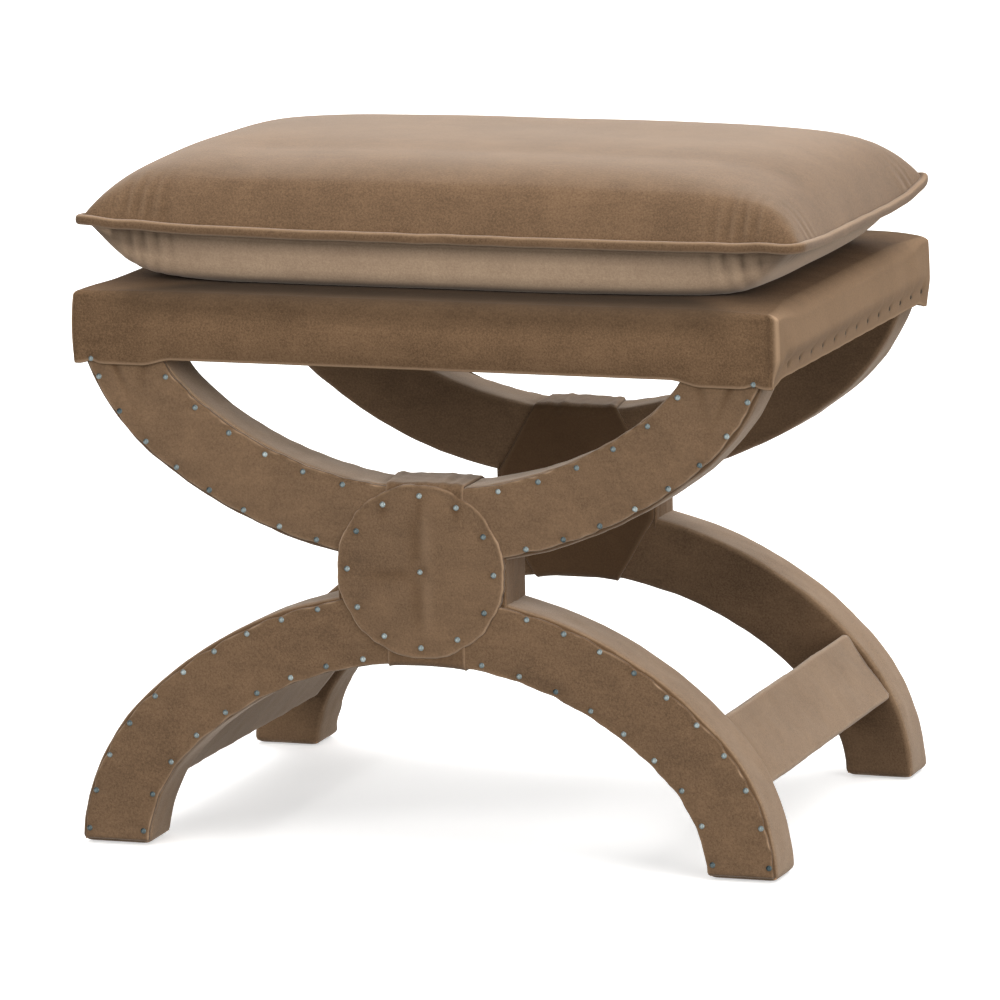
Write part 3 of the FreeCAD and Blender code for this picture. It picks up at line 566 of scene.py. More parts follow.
@dataclass(frozen=True)
class Timber:
    """Sawn wood: long grain along one axis, with finer pores."""

    name: str
    early: Colour
    late: Colour
    along: tuple[float, float, float]

    def material(self) -> bpy.types.Material:
        """The wood's material."""
        bench = Bench(self.name)
        place = bench.stretched(bench.place(), self.along)
        rings = bench.noise(place, 14.0, 4.0)
        pores = bench.noise(place, 1.6, 2.0)
        return bench.finish(
            {
                "Base Color": bench.mix(rings + (pores - 0.5) * 0.5, self.early, self.late),
                "Roughness": 0.55 + pores * 0.25,
                "Normal": bench.bump(pores + rings * 0.5, 0.3, 0.4),
            }
        )


@dataclass(frozen=True)
class Plain:
    """Foam, woven dust cloth or moulded plastic: two tones and a grain."""

    name: str
    deep: Colour
    pale: Colour
    grain: float
    rough: float

    def material(self) -> bpy.types.Material:
        """The stuff's material."""
        bench = Bench(self.name)
        place = bench.place()
        specks = bench.noise(place, self.grain, 2.0)
        cloud = bench.noise(place, self.grain * 25.0)
        return bench.finish(
            {
                "Base Color": bench.mix(specks + (cloud - 0.5) * 0.6, self.deep, self.pale),
                "Roughness": self.rough + (specks - 0.5) * 0.2,
                "Normal": bench.bump(specks, 0.4, self.grain * 0.4),
            }
        )


# Cross frames


@dataclass(frozen=True)
class Band:
    """A bent bar seen from the front: a crown arc about the middle, then a tangent arc on each side.

    sign is 1 for the arch, whose outer edge is its top, and -1 for the bowl, whose outer edge is its
    underside. An inset is a distance inwards from the outer edge, and an angle starts at the crown.
    Each half has a row of nails along both edges, which stop at the margin from the band's end.
    """

    sign: int
    crown: float
    crown_radius: float
    end_radius: float
    reach: float
    width: float
    end: float
    outer_nails: int
    inner_nails: int
    inner_start: float
    nail_margin: float

    @property
    def switch(self) -> float:
        """Angle at which the crown arc runs into the end arc."""
        return math.asin(self.reach / (self.crown_radius - self.end_radius))

    @property
    def crown_up(self) -> float:
        """Height of the crown arc's centre."""
        return self.crown - self.sign * self.crown_radius

    @property
    def end_up(self) -> float:
        """Height of the end arcs' centres."""
        return self.crown_up + self.sign * (self.crown_radius - self.end_radius) * math.cos(self.switch)

    def radius(self, angle: Array, inset: Array) -> Array:
        """Radius of the line at an inset, on the arc that holds the angle."""
        return np.where(np.abs(angle) > self.switch, self.end_radius, self.crown_radius) - inset

    def place(self, angle: Array, inset: Array) -> tuple[Array, Array]:
        """Across and up of a point: its arc's centre plus the radius turned by the angle.

        Args:
            angle: Angle from the crown, negative on the left.
            inset: Distance in from the outer edge.

        Returns:
            Across and up.
        """
        far = np.abs(angle) > self.switch
        radius = self.radius(angle, inset)
        across = np.where(far, self.reach, 0.0) + radius * np.sin(np.abs(angle))
        up = np.where(far, self.end_up, self.crown_up) + self.sign * radius * np.cos(angle)
        return np.where(angle < 0.0, -across, across), up

    def end_angle(self, inset: Array, level: Array | float) -> Array:
        """Angle at which the line at an inset comes to a level."""
        drop = self.sign * (level - self.end_up)
        return np.arccos(np.clip(drop / (self.end_radius - inset), -1.0, 1.0))

    def rim_angle(self, inset: Array, centre: float, rim: float) -> Array:
        """Angle, by the cosine rule, at which the crown line at an inset leaves a middle circle."""
        arc = self.crown_radius - inset
        gap = abs(centre - self.crown_up)
        cosine = (arc * arc + gap * gap - rim * rim) / (2.0 * arc * gap)
        return np.arccos(np.clip(cosine, -1.0, 1.0))

    def stations(self, inset: float, start: float, margin: float, count: int) -> Array:
        """Angles of evenly spaced nails along one line.

        Args:
            inset: The line's distance in from the outer edge.
            start: How far across the first nail is.
            margin: Length left between the last nail and the band's end.
            count: Number of nails.

        Returns:
            Rows of angle and inset.
        """
        crown = self.crown_radius - inset
        end = self.end_radius - inset
        bend = crown * self.switch
        last = bend + end * (float(self.end_angle(inset, self.end)) - self.switch) - margin
        run = np.linspace(crown * math.asin(start / crown), last, count)
        angle = np.where(run > bend, self.switch + (run - bend) / end, run / crown)
        return stacked(angle, inset)


HEM_FOLDS = (Fold(271.0, -0.45, 3.0), Fold(240.0, 0.2, 4.5, 0.6))
UPRIGHT_CREASE = Fold(-2.0, -0.03, 6.0)
LEVEL_CREASE = Fold(-2.0, 0.06, 6.0, 0.8)
STRAP_TUCKS = (Fold(12.0, 7.0, 3.2), Fold(27.0, 4.2, 3.0, 0.8))
STRAP_EDGE = Fold(-33.0, 7.0, 4.0, 1.2)
LOWER = Band(
    sign=1,
    crown=230.0,
    crown_radius=355.0,
    end_radius=182.0,
    reach=124.0,
    width=61.0,
    end=1.5,
    outer_nails=10,
    inner_nails=9,
    inner_start=52.0,
    nail_margin=12.0,
)
UPPER = Band(
    sign=-1,
    crown=252.5,
    crown_radius=382.0,
    end_radius=182.0,
    reach=125.0,
    width=64.5,
    end=418.0,
    outer_nails=8,
    inner_nails=6,
    inner_start=68.0,
    nail_margin=19.0,
)


@dataclass
class CrossFrame:
    """One X frame: sleeves on the bent bars, nailed face panels, hub wrap and medallion.

    A dimple is the cloth's pit at a nail, pleats are the short folds that run from it, and a tuck is
    where it draws in the panel's edge.
    """

    side: Side
    velvet: bpy.types.Material
    # A lit copy of the velvet, paler and with more sheen: painted light for the sleeves' edge faces.
    lit_velvet: bpy.types.Material
    core_plane: float = 238.0
    sleeve_front: float = 239.6
    sleeve_back: float = 187.0
    edge_round: float = 4.5
    foot_round: float = 6.0
    panel_outer: float = 3.0
    panel_inner: float = 0.9
    panel_end: float = 2.5
    panel_height: float = 3.3
    hub_half: float = 73.5
    wrap_half: float = 40.0
    medallion_up: float = 247.5
    medallion_radius: float = 73.0
    medallion_height: float = 6.0
    nail_edge: float = 6.5
    nail_outer_start: float = 91.5
    nail_circle: float = 64.0
    nail_dimple: float = 4.6
    pleat_wide: float = 2.4
    pleat_long: float = 11.0
    tuck_wide: float = 7.0
    tuck_long: float = 9.0
    hub_low: float = 222.0
    hub_high: float = 260.0
    hub_lap: float = 8.0
    strap_lap: float = 0.8
    strap_round: float = 4.0
    strap_shift: float = 4.0
    sleeve_rows: int = 150

    @property
    def sleeve_middle(self) -> float:
        """Depth half way through a sleeve."""
        return (self.sleeve_back + self.sleeve_front) / 2.0

    @property
    def sleeve_half(self) -> float:
        """Half a sleeve's thickness."""
        return (self.sleeve_front - self.sleeve_back) / 2.0

    def nails(self, band: Band) -> Array:
        """Angle and inset of the nails on one half of a band's face."""
        end = band.nail_margin
        far = band.width - self.nail_edge
        outer = band.stations(self.nail_edge, self.nail_outer_start, end, band.outer_nails)
        inner = band.stations(far, band.inner_start, end, band.inner_nails)
        return np.concatenate([outer, inner])

    def sleeve(self, band: Band, seed: int) -> Skin:
        """The cloth round a bar: a rounded rectangle carried along the band, rounded over at a foot.

        Args:
            band: The bar.
            seed: Seed of the cloth's unevenness.

        Returns:
            A closed tube.
        """
        section = rounded_section(
            0.0, band.width, self.sleeve_back, self.sleeve_front, self.edge_round, 6, 9
        )
        inset, depth, out_inset, out_depth = section.T
        turn = np.linspace(0.0, np.pi / 2, 6)[1:]
        end = np.ones(len(turn))
        soft = self.foot_round if band is LOWER else 0.01
        count = self.sleeve_rows
        share = np.concatenate([-end, np.linspace(-1.0, 1.0, count), end])[:, None]
        dip = soft * (1.0 - np.sin(turn))
        level = np.concatenate([dip[::-1], np.full(count, soft), dip])[:, None]
        level = band.end + band.sign * level
        tight = soft * (1.0 - np.cos(turn))
        shrink = np.concatenate([tight[::-1], np.zeros(count), tight])[:, None]
        half = band.width / 2
        inset = half + (inset - half) * (1.0 - shrink / half)
        depth = self.sleeve_middle + (depth - self.sleeve_middle) * (1.0 - shrink / self.sleeve_half)
        angle = share * band.end_angle(inset, level)
        across, up = band.place(angle, inset)
        points = stacked(across, -depth, up)
        swell = 0.45 * Ripple(seed, 55.0).at(points) + 0.25 * Ripple(seed + 1, 22.0).at(points)
        swell = swell * (shrink < soft * 0.9)
        across, up = band.place(angle, inset - swell * np.abs(out_inset) * np.sign(-out_inset))
        points = stacked(across, -(depth + swell * out_depth * (out_depth < 0)), up)
        # Painted highlight on the rounded corners; painted shade on the front faces, which lie under
        # the panels.
        corner = np.minimum(np.abs(out_inset), np.abs(out_depth)) / 0.7071
        under_panel = np.where(out_depth > 0.75, 0.8, 0.0)
        return Skin(points, 0.3 * corner, under_panel, capped=True)

    def panel(self, band: Band, hand: Hand, seed: int) -> Skin:
        """A nailed face panel: a rolled strip carried along the band from the medallion to its end.

        Its top swells between the nails and is drawn down to the ground height at each nail, its
        edges are drawn in at the nails and hang out between them.

        Args:
            band: The bar that carries it.
            hand: Which half.
            seed: Seed of its unevenness.

        Returns:
            A closed strip.
        """
        half = (band.width - self.panel_outer - self.panel_inner) / 2
        across, height, share = Roll(half, self.panel_height, 1.7).section()
        along = np.linspace(0.0, 1.0, 170)[:, None]
        inset = self.panel_outer + half + across * half
        first = band.rim_angle(inset, self.medallion_up, self.medallion_radius - 1.5)
        level = band.end + (self.panel_end if band is LOWER else 0.0)
        angle = first + (band.end_angle(inset, level) - first) * along
        sole = band.radius(angle, inset) * (band.end_angle(inset, band.end) - angle)
        lost = 1.0 - np.clip(sole / self.foot_round, 0.0, 1.0)
        shrink = self.foot_round * (1.0 - np.sqrt(1.0 - lost**2)) if band is LOWER else 0.0
        nail = self.nails(band)
        run = (angle[..., None] - nail[:, 0]) * band.radius(angle, inset)[..., None]
        gap = inset[:, None] - nail[:, 1]
        pinch = bell(np.hypot(run, gap), self.nail_dimple).max(axis=-1)
        pleat = (bell(run, self.pleat_wide) * bell(gap, self.pleat_long)).max(axis=-1)
        tuck = (bell(run, self.tuck_wide) * bell(gap, self.tuck_long)).max(axis=-1)
        x, z = band.place(angle, inset)
        flat = stacked(x * hand.value, 0.0, z)
        wave = Ripple(seed, 46.0).at(flat)
        fine = Ripple(seed + 7, 15.0).at(flat)
        edge = np.abs(across) ** 6
        draw = edge * (1.2 * tuck - 0.45 + 0.3 * fine) + shrink * np.abs(across)
        inset = inset - np.sign(across) * draw
        x, z = band.place(angle, inset)
        bead = bell(1.0 - np.abs(across), 0.06)
        drop = np.clip(UPPER.end - z, 0.0, None)
        pull = sum(fold.at(x, drop) for fold in HEM_FOLDS)
        pull = pull * np.exp(-drop / 17.0) if band is UPPER else 0.0
        puff = 0.9 * (1.0 - across**4) + 0.6 * bead + 0.5 * wave + 0.2 * fine
        puff = np.maximum(puff - 0.35 * pleat - 2.4 * pull, -1.6) * (1.0 - pinch)
        puff = puff * eased(x, self.wrap_half - 4.0, self.wrap_half + 8.0)
        length = band.radius(angle, inset) * (band.end_angle(inset, level) - angle)
        over = np.sqrt(1.0 - np.clip(1.0 - length / 3.0, 0.0, 1.0) ** 2) if band is LOWER else 1.0
        depth = self.core_plane + (height + puff * share) * over
        points = stacked(x * hand.value, -depth, z)
        # Painted highlight along the rolled edges, strongest on each band's lower edge, and on the
        # pleats; the whole panel is also made a little paler. Painted shade on the side walls, in the
        # nail pits and in the pulled folds at the hem.
        below = np.where(across * band.sign > 0.0, 0.75, 0.12)
        ridge = bell(1.0 - np.abs(across) - 0.02, 0.026) * (below + 0.5 * fine) + 0.1 * pleat
        ridge = ridge + (0.11 if band is UPPER else 0.03)
        painted_shade = np.where(share < 0.35, 1.0, 0.0) + 0.35 * pinch + 1.2 * pull
        return Skin(points, ridge, painted_shade, capped=True)

    def medallion(self, seed: int) -> Skin:
        """The nailed disc: a low dome with a rolled rim, dimpled at its nails, creased in the middle.

        Its points are polar: rings out to the rim, over a quarter round, and down to the ground.

        Args:
            seed: Seed of its unevenness.

        Returns:
            A closed disc.
        """
        roll = 2.0
        turn = np.linspace(0.0, np.pi / 2, 7)
        flat = np.linspace(0.6, self.medallion_radius - roll, 44)[:-1]
        radius = np.concatenate([flat, self.medallion_radius - roll + roll * np.sin(turn)])
        radius = np.append(radius, self.medallion_radius)[:, None]
        rolled = self.medallion_height - roll * (1.0 - np.cos(turn))
        height = np.concatenate([np.full(len(flat), self.medallion_height), rolled, [0.0]])[:, None]
        share = np.concatenate([np.ones(len(flat)), np.cos(turn), [0.0]])[:, None]
        angle = np.linspace(0.0, 2.0 * np.pi, 169)[:-1]
        nail = np.arange(12) * np.pi / 6
        spread = self.nail_circle * stacked(np.cos(nail), np.sin(nail))
        spread = np.concatenate([spread, [[0.0, 0.0]]])
        x = radius * np.cos(angle)
        z = radius * np.sin(angle)
        gap = np.hypot(x[..., None] - spread[:, 0], z[..., None] - spread[:, 1])
        pinch = bell(gap, 4.8).max(axis=-1)
        soft = bell(gap, 11.0).max(axis=-1)
        place = stacked(x, 0.0, z)
        wave = Ripple(seed, 38.0).at(place)
        fine = Ripple(seed + 3, 13.0).at(place)
        away = eased(radius, 2.0, 16.0) * (1.0 - eased(radius, 30.0, 62.0))
        crease = away * (UPRIGHT_CREASE.at(x, z) + LEVEL_CREASE.at(z, x) * (x < 0))
        rim = radius / self.medallion_radius
        bead = bell(radius - (self.medallion_radius - 1.8), 1.8)
        puff = 1.3 * (1.0 - rim**3) + 0.5 * bead + 0.4 * wave + 0.15 * fine - 0.8 * crease - 0.6 * soft
        puff = np.maximum(puff, -0.3) * (1.0 - pinch)
        lobe = 0.45 * np.cos(12.0 * angle + np.pi) + 0.5 * fine[-1]
        radius = radius + (rim**8) * (lobe + 0.2)
        depth = self.core_plane + height + puff * share
        x = radius * np.cos(angle)
        z = self.medallion_up + radius * np.sin(angle)
        points = stacked(x, -depth, z)
        # Painted highlight on the rolled rim, strongest round its lower half, on one side of the
        # upright crease and a little over the whole disc; painted shade on the side wall, in the nail
        # pits, in the creases and in short marks below the top nails.
        low = 1.0 - eased(np.sin(angle), 0.1, 0.8)
        ridge = bell(rim - 0.991, 0.012) * (0.12 + 0.95 * low + 0.3 * fine)
        ridge = 0.09 + ridge + 0.22 * bell(x - 5.0, 6.0) * away
        below_nail = bell(z - self.medallion_up - 52.0, 9.0)
        hang = bell(x[..., None] - spread[1:6, 0], 3.0).max(axis=-1) * below_nail
        painted_shade = np.where(share < 0.35, 1.0, 0.0) + 0.4 * pinch + 0.5 * crease + 0.45 * hang
        return Skin(points, ridge, painted_shade, capped=True)

    def wrap(self, seed: int) -> Skin:
        """The cloth tied round the crossing: a strip carried round a rounded rectangle across the bars.

        It follows the bars' curved edges above and below, spreads out over the hub on the inner face,
        and is drawn into slanting tucks where it goes over the top and under the bottom.

        Args:
            seed: Seed of its unevenness.

        Returns:
            A closed hoop.
        """
        top = UPPER.crown + UPPER.width
        bottom = LOWER.crown - LOWER.width
        outside = self.sleeve_front + self.strap_lap
        section = rounded_section(bottom, top, self.sleeve_back, outside, self.strap_round, 9, 30)
        up, depth, out_up, out_depth = (line[:, None] for line in section.T)
        across, height, share = Roll(self.wrap_half, 1.9, 1.4, 44, 4).section()
        wide = self.hub_half / self.wrap_half
        flare = np.interp(up, [bottom, self.hub_low, self.hub_high, top], [1.0, wide, wide, 1.0])
        inner = out_depth < -0.7
        front = (depth - self.sleeve_back) / (2.0 * self.sleeve_half)
        shift = self.strap_shift * front
        half = self.wrap_half * np.where(inner, flare, 1.0) - 2.0 - shift
        x = across * half + shift
        bowl = UPPER.crown_radius - UPPER.width
        arch = LOWER.crown_radius - LOWER.width
        above = eased(up, top - 40.0, top)
        below = 1.0 - eased(up, bottom, bottom + 40.0)
        lift = above * (bowl - np.sqrt(bowl**2 - x**2)) - below * (arch - np.sqrt(arch**2 - x**2))
        place = stacked(x, -depth, up)
        wave = Ripple(seed, 45.0, (1.4, 0.5, 0.5)).at(place)
        over = np.clip(out_up, 0.0, 1.0)
        tuck = sum(fold.at(x, front) for fold in STRAP_TUCKS)
        bridge = 3.4 * (1.0 - across**2) + STRAP_EDGE.at(x, front) + 0.9 * tuck
        crimp = Ripple(seed + 2, 13.0, (1.5, 0.6, 0.4)).at(place)
        puff = 0.25 * wave + over * (bridge + 0.25 * crimp) + 0.4 * bell(1.0 - np.abs(across), 0.06)
        rise = height + np.maximum(puff, -0.3) * share
        points = stacked(x, -(depth + out_depth * rise), up + lift + out_up * rise)
        # Painted highlight along the rolled edges and on the tucks over the top and bottom; painted
        # shade on the side walls, over the inner face and lightly over the outer face.
        ridge = 0.6 * bell(1.0 - np.abs(across) - 0.02, 0.03) + 0.15 * tuck * over
        shaded = np.where(inner, 0.85, 0.25 * np.clip(out_depth, 0.0, 1.0))
        return Skin(points, ridge, np.where(share < 0.35, 0.9, 0.0) + shaded, loop=True)

    def hub_cheek(self, hand: Hand, seed: int) -> Skin:
        """The cloth on one side of the hub: a strip with pulled folds, carried up between the two bars.

        Args:
            hand: Which side.
            seed: Seed of its unevenness.

        Returns:
            A closed strip.
        """
        across, height, share = Roll(self.sleeve_half, 2.0, 1.4, 24, 4).section()
        up = np.linspace(self.hub_low - self.hub_lap, self.hub_high + self.hub_lap, 26)[:, None]
        depth = self.sleeve_middle + across * self.sleeve_half
        place = stacked(self.hub_half, -depth, up)
        fold = Ripple(seed, 16.0, (1.0, 1.6, 0.3)).at(place)
        rise = height + share * (0.35 * fold + 0.6 * (1.0 - across**2))
        x = hand.value * (self.hub_half - 2.0 + rise)
        # Painted highlight on the raised folds.
        return Skin(stacked(x, -depth, up), 0.2 * np.clip(fold, 0.0, 1.0) * share, capped=True)

    def build(self) -> None:
        """Makes the frame's pieces, the rear one turned half round."""
        name = self.side.value
        seed = 100 if self.side is Side.FRONT else 200
        for band, level in ((UPPER, "upper"), (LOWER, "lower")):
            skin = self.sleeve(band, seed)
            tube = self.dress(f"{name}_{level}_sleeve", [skin], [f"{name}_{level}_cover"])
            # Faces that do not face front or back get the lit copy: painted light.
            lit_coat_by_facing(tube.data, self.lit_velvet, np.array([0.0, 1.0, 0.0]), -0.7, 0.7)
            for hand in Hand:
                seed += 10
                word = hand.name.lower()
                skin = self.panel(band, hand, seed)
                self.dress(f"{name}_{level}_{word}_face", [skin], [f"{name}_{level}_{word}_panel"])
        cheeks = [self.hub_cheek(Hand.LEFT, seed + 1), self.hub_cheek(Hand.RIGHT, seed + 2)]
        self.dress(f"{name}_hub_cloth", [self.wrap(seed), *cheeks], [f"{name}_hub_wrap"])
        self.dress(f"{name}_medallion", [self.medallion(seed + 5)], [f"{name}_medallion_cover"])

    def dress(self, name: str, skins: list[Skin], nodes: list[str]) -> bpy.types.Object:
        """Turns skins to their frame and makes them a velvet piece.

        Args:
            name: The piece's name.
            skins: Its grids, as on the front frame.
            nodes: Solids that it stands for.

        Returns:
            The piece.
        """
        turned = [skin.turned(self.side.turn) for skin in skins]
        return make_piece(name, make_mesh(name, turned), self.velvet, "base", nodes)


@dataclass
class Stretchers:
    """The two flat bars low between the frames, in velvet sleeves."""

    velvet: bpy.types.Material
    width: float = 68.0
    thickness: float = 48.0
    edge_round: float = 4.2
    angle: float = math.radians(36.6)
    distance: float = 176.76
    half_length: float = 187.5

    def sleeve(self, hand: Hand) -> Skin:
        """A rounded rectangle, set square to the legs' arc, carried from frame to frame.

        Args:
            hand: Which side of the ottoman.

        Returns:
            A closed tube.
        """
        half = self.width / 2
        section = rounded_section(-half, half, -self.thickness, 0.0, self.edge_round, 6, 10)
        along, out, turn_along, turn_out = section.T
        run = np.linspace(-self.half_length, self.half_length, 60)[:, None]
        place = stacked(along, run, out)
        swell = 0.5 * Ripple(31 + hand.value, 60.0).at(place) + 0.2 * Ripple(41, 20.0).at(place)
        along = along + swell * turn_along
        out = self.distance + out + swell * turn_out
        x = LOWER.reach + out * math.cos(self.angle) - along * math.sin(self.angle)
        z = LOWER.end_up + out * math.sin(self.angle) + along * math.cos(self.angle)
        # Painted highlight on the rounded corners.
        corner = np.minimum(np.abs(turn_along), np.abs(turn_out)) / 0.7071
        return Skin(stacked(x * hand.value, run, z), 0.5 * corner, capped=True)

    def build(self) -> None:
        """Makes both sleeves."""
        for hand in Hand:
            name = f"{hand.name.lower()}_stretcher_sleeve"
            mesh = make_mesh(name, [self.sleeve(hand)])
            nodes = [f"{hand.name.lower()}_stretcher_cover"]
            make_piece(name, mesh, self.velvet, "base", nodes)


# Seat


def seat_rise(x: Array, y: Array) -> Array:
    """How far the padded seat stands above its edge on its right half.

    It rises with the cube of the place across, in from the right edge over 62 mm and in from the front
    edge over 50 mm. At the back its edge rises with it.

    Args:
        x, y: Places on the seat.

    Returns:
        Heights.
    """
    run = np.clip((SEAT_HALF_WIDTH - np.abs(x)) / 62.0, 0.0, 1.0)
    side = 1.0 - run * (1.25 - 0.25 * run)
    end = (1.0 - np.clip((SEAT_HALF_DEPTH + y) / 50.0, 0.0, 1.0)) ** 2
    height = 7.0 + 2.5 * eased(y, 0.0, SEAT_HALF_DEPTH)
    return height * np.clip(x / SEAT_HALF_WIDTH, 0.0, 1.0) ** 3 * (1.0 - side) * (1.0 - end)


@dataclass
class Seat:
    """The boxed seat: a velvet cover with its hem, the foam in it, and the dust cloth beneath."""

    velvet: bpy.types.Material
    cloth: bpy.types.Material
    foam: bpy.types.Material
    half_width: float = SEAT_HALF_WIDTH
    half_depth: float = SEAT_HALF_DEPTH
    corner: float = 3.0
    top: float = 473.0
    edge: float = 13.0
    corner_edge: float = 5.0
    hem: float = 416.6
    hem_drop: float = 5.2
    tack_up: float = 427.0
    tack_first: float = 223.5
    tack_pitch: float = 35.3
    nail_across: float = 288.0
    nail_up: float = 416.0
    bead: float = 1.3
    inside_up: float = 440.0
    bulge: float = 6.0
    arm_across: float = 214.0
    arm_back: float = 174.0

    def hem_level(self, x: Array, y: Array, long_side: Array) -> Array:
        """Height of the hem: level between the arms, hanging over them, lifted at each corner nail.

        Args:
            x, y: Places round the seat.
            long_side: Whether each place is on the front or back.

        Returns:
            Heights.
        """
        over = eased(np.abs(x), 216.0, 244.0)
        nail = 2.6 * bell(np.abs(x) - self.nail_across, 5.0)
        front = self.hem - self.hem_drop * over + nail
        phase = np.cos(2.0 * np.pi * (y - self.tack_first) / self.tack_pitch)
        flank = self.hem + 0.15 * phase - self.hem_drop * eased(np.abs(y), 212.0, 242.0)
        return np.where(long_side, front, flank)

    def cover(self) -> Skin:
        """The cover: an upright section carried round the seat's rounded rectangle.

        The section goes down the inside, round the hem's bead, up the face, over a quarter round and
        in over the top. The face swells between hem and top, is dimpled and gathered at the tacks,
        and has a raised seam at each corner.

        Returns:
            A closed shell.
        """
        ring = rounded_section(
            -self.half_width, self.half_width, -self.half_depth, self.half_depth, self.corner, 19, 150
        )
        px, py, nx, ny = ring.T
        long_side = np.abs(ny) > 0.7072
        hem = self.hem_level(px, py, long_side)
        fall = np.linspace(1.0, 0.0, 4)[:, None]
        turn = np.linspace(0.0, np.pi, 8)[:, None]
        climb = np.linspace(0.0, 1.0, 26)[1:, None]
        over = np.linspace(0.0, np.pi / 2, 13)[1:, None]
        inward = np.concatenate([np.linspace(2.0, 50.0, 17), np.linspace(60.0, 150.0, 6)])[:, None]
        base = hem + self.bead
        near = np.where(long_side, self.half_width - np.abs(px), self.half_depth - np.abs(py))
        soft = self.corner_edge + (self.edge - self.corner_edge) * eased(near, 6.0, 75.0)
        crest = self.top - soft
        up = np.concatenate(
            [
                base + fall * (self.inside_up - base),
                base - self.bead * np.sin(turn),
                base + climb * (crest - base),
                crest + soft * np.sin(over),
                np.full((len(inward), len(px)), self.top),
            ]
        )
        wall = -2.0 * self.bead
        out = np.concatenate(
            [
                np.full((len(fall), len(px)), wall),
                wall * (1.0 + np.cos(turn)) / 2.0 + 0.0 * px,
                np.zeros((len(climb), len(px))),
                np.zeros((len(over) + len(inward), len(px))),
            ]
        )
        face = (up < crest + 0.01) & (out > -1.5)
        crown = up > crest + 0.01
        level = np.clip((up - base) / (crest - base), 0.0, 1.0)
        place = stacked(px, py, up)
        inner = eased(near, 2.0, 45.0)
        swell = np.sin(np.pi * level**0.8) * (1.2 + 1.6 * inner)
        wave = 0.7 * Ripple(301, 90.0, (1.0, 1.0, 0.6)).at(place)
        pull = 0.18 * Ripple(302, 18.0, (1.2, 1.2, 0.15)).at(place) * (1.0 - eased(level, 0.0, 0.55))
        seam_x = self.half_width - 0.134 * self.corner - np.abs(px)
        seam_y = self.half_depth - 0.5 * self.corner - np.abs(py)
        seam = bell(np.hypot(seam_x, seam_y), 0.7)
        half_pitch = self.tack_pitch / 2
        step = np.abs((py - self.tack_first + half_pitch) % self.tack_pitch - half_pitch)
        flank = np.where(long_side, 0.0, eased(self.tack_first + 8.0 - np.abs(py), 0.0, 8.0))
        dimple = flank * bell(np.hypot(step, 0.8 * (up - self.tack_up)), 2.6)
        gather = flank * bell(step, 3.2) * bell(up - self.tack_up - 7.0, 11.0)
        from_nail = np.hypot(np.abs(px) - self.nail_across, up - self.nail_up)
        nail = np.where(long_side, bell(from_nail, 4.5), 0.0)
        hang = np.where(long_side, eased(np.abs(px), self.arm_across, 246.0), 0.0)
        hang = hang * (1.0 - eased(level, 0.0, 0.35))
        fuller = self.bulge * np.clip(nx, 0.0, 1.0) * eased(level, 0.05, 0.45)
        fuller = fuller * (1.0 - 0.7 * eased(py, -self.half_depth, self.half_depth))
        lift = swell + wave * inner + pull + 1.1 * seam + 1.3 * hang
        lift = lift + 0.9 * flank * (1.0 - level) + fuller
        lift = lift * (1.0 - 0.65 * flank * (1.0 - eased(up, self.tack_up, self.tack_up + 17.0)))
        lift = lift * (1.0 - dimple) * (1.0 - nail) - 0.12 * gather * (1.0 - dimple)
        left_end = np.clip(-nx, 0.0, 1.0) * bell(self.half_depth - np.abs(py), 34.0)
        upright = np.ones((len(up) - len(over) - len(inward), 1))
        fade = np.concatenate([upright, np.cos(over), 0.0 * inward])
        turned = np.sqrt(1.0 - fade**2)
        tuck = left_end * (1.5 * (1.0 - level) ** 1.4 + 1.0 * level**5)
        lift = np.where(face | crown, lift * fade - tuck, -1.5 * left_end)
        lip = (up < base + 0.01) & (out > wall + 0.01)
        lift = np.where(lip & ~face, lift + 0.6, lift)
        across = px + nx * (out + lift)
        back = py + ny * (out + lift)
        inset = np.concatenate([soft * (1.0 - np.cos(over)), soft + inward])
        inset = np.concatenate([np.zeros((len(up) - len(inset), len(px))), inset])
        across = across * (1.0 - inset / self.half_width)
        back = back * (1.0 - inset / self.half_depth)
        sag = np.abs(0.25 * Ripple(303, 110.0).at(stacked(across, back, up)))
        up = up + seat_rise(across, back) * turned - np.where(inset > soft, sag, 0.0)
        # Painted highlight along the hem's bead, on the tack gathers, on the raised corner seams and
        # over the short sides.
        ridge = 0.9 * bell(up - base + 0.6, 1.3) * face + 0.1 * gather * face
        ridge = ridge + (0.8 * seam + 0.52 * eased(np.abs(nx), 0.5, 1.0)) * (face | crown) * fade**0.5
        # Painted shade in the tack dimples, at the corner nails and down the inside of the cover.
        painted_shade = 0.8 * dimple + 0.3 * nail + np.where((out < -1.6) & (up < crest - 9.0), 0.4, 0.0)
        # Painted shade along the tops of the front and back, and over the top, darkening inward under
        # the cushion, where its shadow falls.
        ends = np.abs(ny) * eased(near, 0.0, 55.0) * (1.0 - eased(inset, 30.0, 110.0))
        brow = ends * (0.3 * eased(level, 0.68, 1.0) + 0.45 * turned)
        painted_shade = painted_shade + (face | crown) * (brow + 0.42 * eased(inset, 4.0, 60.0))
        return Skin(stacked(across, back, up), ridge, painted_shade, capped=True)

    def pad(self) -> None:
        """Makes the foam: a rounded rectangle carried up and turned over a quarter round at its top."""
        low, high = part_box("seat_pad")
        slack, turned = 3.0, 14.0
        wide, deep = self.half_width - slack, self.half_depth - slack
        px, py, nx, ny = rounded_section(-wide, wide, -deep, deep, self.corner, 6, 20).T
        turn = np.linspace(0.0, np.pi / 2, 8)[:, None]
        top = high.z / MM - 0.6
        up = np.concatenate([[[low.z / MM]], top - turned * (1.0 - np.sin(turn))])
        out = np.concatenate([[[0.0]], turned * (np.cos(turn) - 1.0)])
        skin = Skin(stacked(px + nx * out, py + ny * out, up), capped=True)
        mesh = make_mesh("seat_foam", [skin])
        make_piece("seat_foam", mesh, self.foam, "base", ["seat_pad"])

